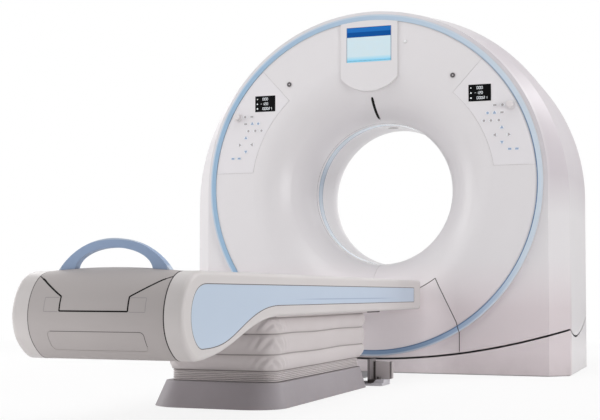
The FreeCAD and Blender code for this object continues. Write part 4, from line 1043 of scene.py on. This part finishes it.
def bellowsMaterial():
    look = clothLook
    material, shader, coordinate = startMaterial("bellowsCoatedCloth")
    cloth = Field(addNode(shader.id_data, "ShaderNodeUVMap", uv_map="cloth").outputs[0])
    skin = addSkin(coordinate, linear(look["colour"]), look)
    # shade in the valleys between the pleats, from the height on the cloth
    height = axes(cloth)[1]
    phase = ((height - bellows["foot"]) / pleatPitch).fraction()
    valley = ramp(abs(phase - 0.5), *look["valleyAt"]) * (height < bellows["pleatTop"])
    tint = blend(valley * look["valleyShare"], skin["Colour"], look["valley"])
    # painted shade along the three lower fold creases
    for crease in bellows["creases"][:3]:
        near = within(height - crease, look["creaseHalf"], look["creaseSoft"])
        tint = blend(near * look["creaseShadeShare"], tint, look["crease"])
    weave = noise(cloth, **look["weave"]) * look["weaveShare"]
    finishShader(shader, {"Base Color": tint, "Roughness": skin["Roughness"]},
                 weave + noise(coordinate, **look["clouds"]), look["relief"],
                 look["reliefStrength"])
    return material


cloth = makeBellows()
cloth.data.materials.append(bellowsMaterial())
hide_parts("bellows")
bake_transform(cloth)
print("bellows made:", len(cloth.data.polygons), "faces")


# hem of the bellows: a pale strip along both sides and the rear of the clamp frame

hem = dict(inner=0.2182, outer=0.2226, foot=0.3262, top=0.3336, front=-1.240, rear=-2.4752,
           wall=0.0044, colour=(214, 207, 207), drift=0.03, grainSize=0.0011, roughness=0.55,
           seam=0.0)


def makeHem():
    a, b, back, front = hem["inner"], hem["outer"], hem["rear"], hem["front"]
    out = back - hem["wall"]
    outline = np.array([(a, front), (b, front), (b, out), (-b, out), (-b, front), (-a, front),
                        (-a, back), (a, back)])
    count = len(outline)
    points = np.vstack([np.insert(outline, 2, z, axis=1) for z in (hem["foot"], hem["top"])])
    walls = [[i, (i + 1) % count, (i + 1) % count + count, i + count] for i in range(count)]
    sides = [[0, 7, 2, 1], [7, 6, 3, 2], [6, 5, 4, 3]]
    caps = sides + [[i + count for i in reversed(face)] for face in sides]
    return faceOutwards(meshFrom("bellowsHem", points, walls + caps))


place(makeHem(), mouldedMaterial("hemCloth", hem), "couch")


# studio: pale floor that keeps the shadow, white surroundings, soft lamps, camera

studio = dict(floorColour=(244, 243, 243), floorWidth=120.0, floorRoughness=0.9,
              middle=(0, -1.4, 0), fade=(2.6, 6.0), whiteShare=0.8, worldLight=0.19,
              worldShine=0.5)
lamps = [  # name, place, aim, size, power
    ("overheadLamp", (0.3, -1.6, 5.2), (0, -1.2, 0.6), 5.0, 160),
    ("rightLowLamp", (6.0, -3.6, 1.2), (0.3, -1.5, 0.5), 2.6, 135),
    ("leftLamp", (-4.6, -5.2, 3.4), (0, -0.8, 0.8), 3.4, 62),
    ("sideLeftLamp", (-4.5, -1.5, 1.8), (0.4, -0.2, 0.9), 2.6, 68),
    ("rearRightLamp", (4.5, 3.4, 3.6), (0.4, 0.0, 1.0), 3.0, 134),
    ("rearLeftLamp", (-4.5, 2.6, 4.4), (0, 0.0, 1.0), 3.0, 74),
    ("floorLamp", (-0.9, -3.4, 0.04), (0, -0.6, 1.4), 2.6, 10),
    ("boreLamp", (-0.2, 3.0, 1.0), (0, 0.0, 1.0), 1.6, 7.5),
]
camera = dict(place=(1.70824, -6.70871, 0.41676), yaw=0.35136, pitch=0.04613, roll=0.00328,
              lens=74.53, sensor=36, shift=(0.0667, 0.0417), farClip=200)


def makeFloor():
    corners = np.insert(rectangle(0, 0, studio["floorWidth"], studio["floorWidth"]), 2, 0, axis=1)
    floor = meshFrom("studioFloor", corners, [[0, 1, 2, 3]])
    material, shader, coordinate = startMaterial("studioFloorPaint")
    tree, output = shader.id_data, shader.outputs[0].links[0].to_node
    fill(shader, {"Base Color": linear(studio["floorColour"]),
                  "Roughness": studio["floorRoughness"], "Specular IOR Level": 0.0})
    # the floor turns to plain white away from the couch and keeps a soft shadow near it
    middle = addNode(tree, "ShaderNodeVectorMath", {0: coordinate, 1: studio["middle"]},
                     operation="DISTANCE")
    fade = ramp(Field(middle.outputs[1]), *studio["fade"])
    fade = fade * (1 - studio["whiteShare"]) + studio["whiteShare"]
    path = addNode(tree, "ShaderNodeLightPath")
    white = addNode(tree, "ShaderNodeEmission", {"Color": (1, 1, 1, 1), "Strength": 1.0})
    mix = addNode(tree, "ShaderNodeMixShader", {
        0: fade * path.outputs["Is Camera Ray"], 1: shader.outputs[0], 2: white.outputs[0]})
    fill(output, {0: mix.outputs[0]})
    floor.data.materials.append(material)


def makeWorld():
    world = bpy.data.worlds.new("studioWorld")
    bpy.context.scene.world = world
    world.use_nodes = True
    tree = world.node_tree
    tree.nodes.clear()
    # the surroundings are white to the eye, dimmer in reflections and dimmest as light
    path = addNode(tree, "ShaderNodeLightPath").outputs
    shine = (Field(path["Is Glossy Ray"]) * (studio["worldShine"] - studio["worldLight"])
             + studio["worldLight"])
    light = addNode(tree, "ShaderNodeBackground", {
        "Color": (1, 1, 1, 1), "Strength": shine.larger(path["Is Camera Ray"])})
    addNode(tree, "ShaderNodeOutputWorld", {0: light.outputs[0]})


def makeLamp(name, spot, aim, size, power):
    data = bpy.data.lights.new(name, "AREA")
    data.size, data.energy = size, power
    thing = addThing(name, data)
    away = np.subtract(spot, aim)
    thing.location = spot
    thing.visible_camera = False
    thing.rotation_euler = (
        math.atan2(math.hypot(away[0], away[1]), away[2]), 0, math.atan2(away[0], -away[1]))


def makeCamera():
    data = bpy.data.cameras.new("photoCamera")
    data.sensor_width, data.lens = camera["sensor"], camera["lens"]
    data.shift_x, data.shift_y = camera["shift"]
    data.clip_end = camera["farClip"]
    thing = addThing("photoCamera", data)
    yaw, pitch, roll = camera["yaw"], math.pi / 2 + camera["pitch"], camera["roll"]
    turned = Euler((pitch, 0, yaw)).to_matrix() @ Matrix.Rotation(roll, 3, "Z")
    thing.matrix_world = Matrix.Translation(camera["place"]) @ turned.to_4x4()
    bpy.context.scene.camera = thing


makeFloor()
makeWorld()
for lamp in lamps:
    makeLamp(*lamp)
makeCamera()
bpy.context.scene.view_settings.view_transform = "Standard"
print("studio ready")

bpy.context.view_layer.update()
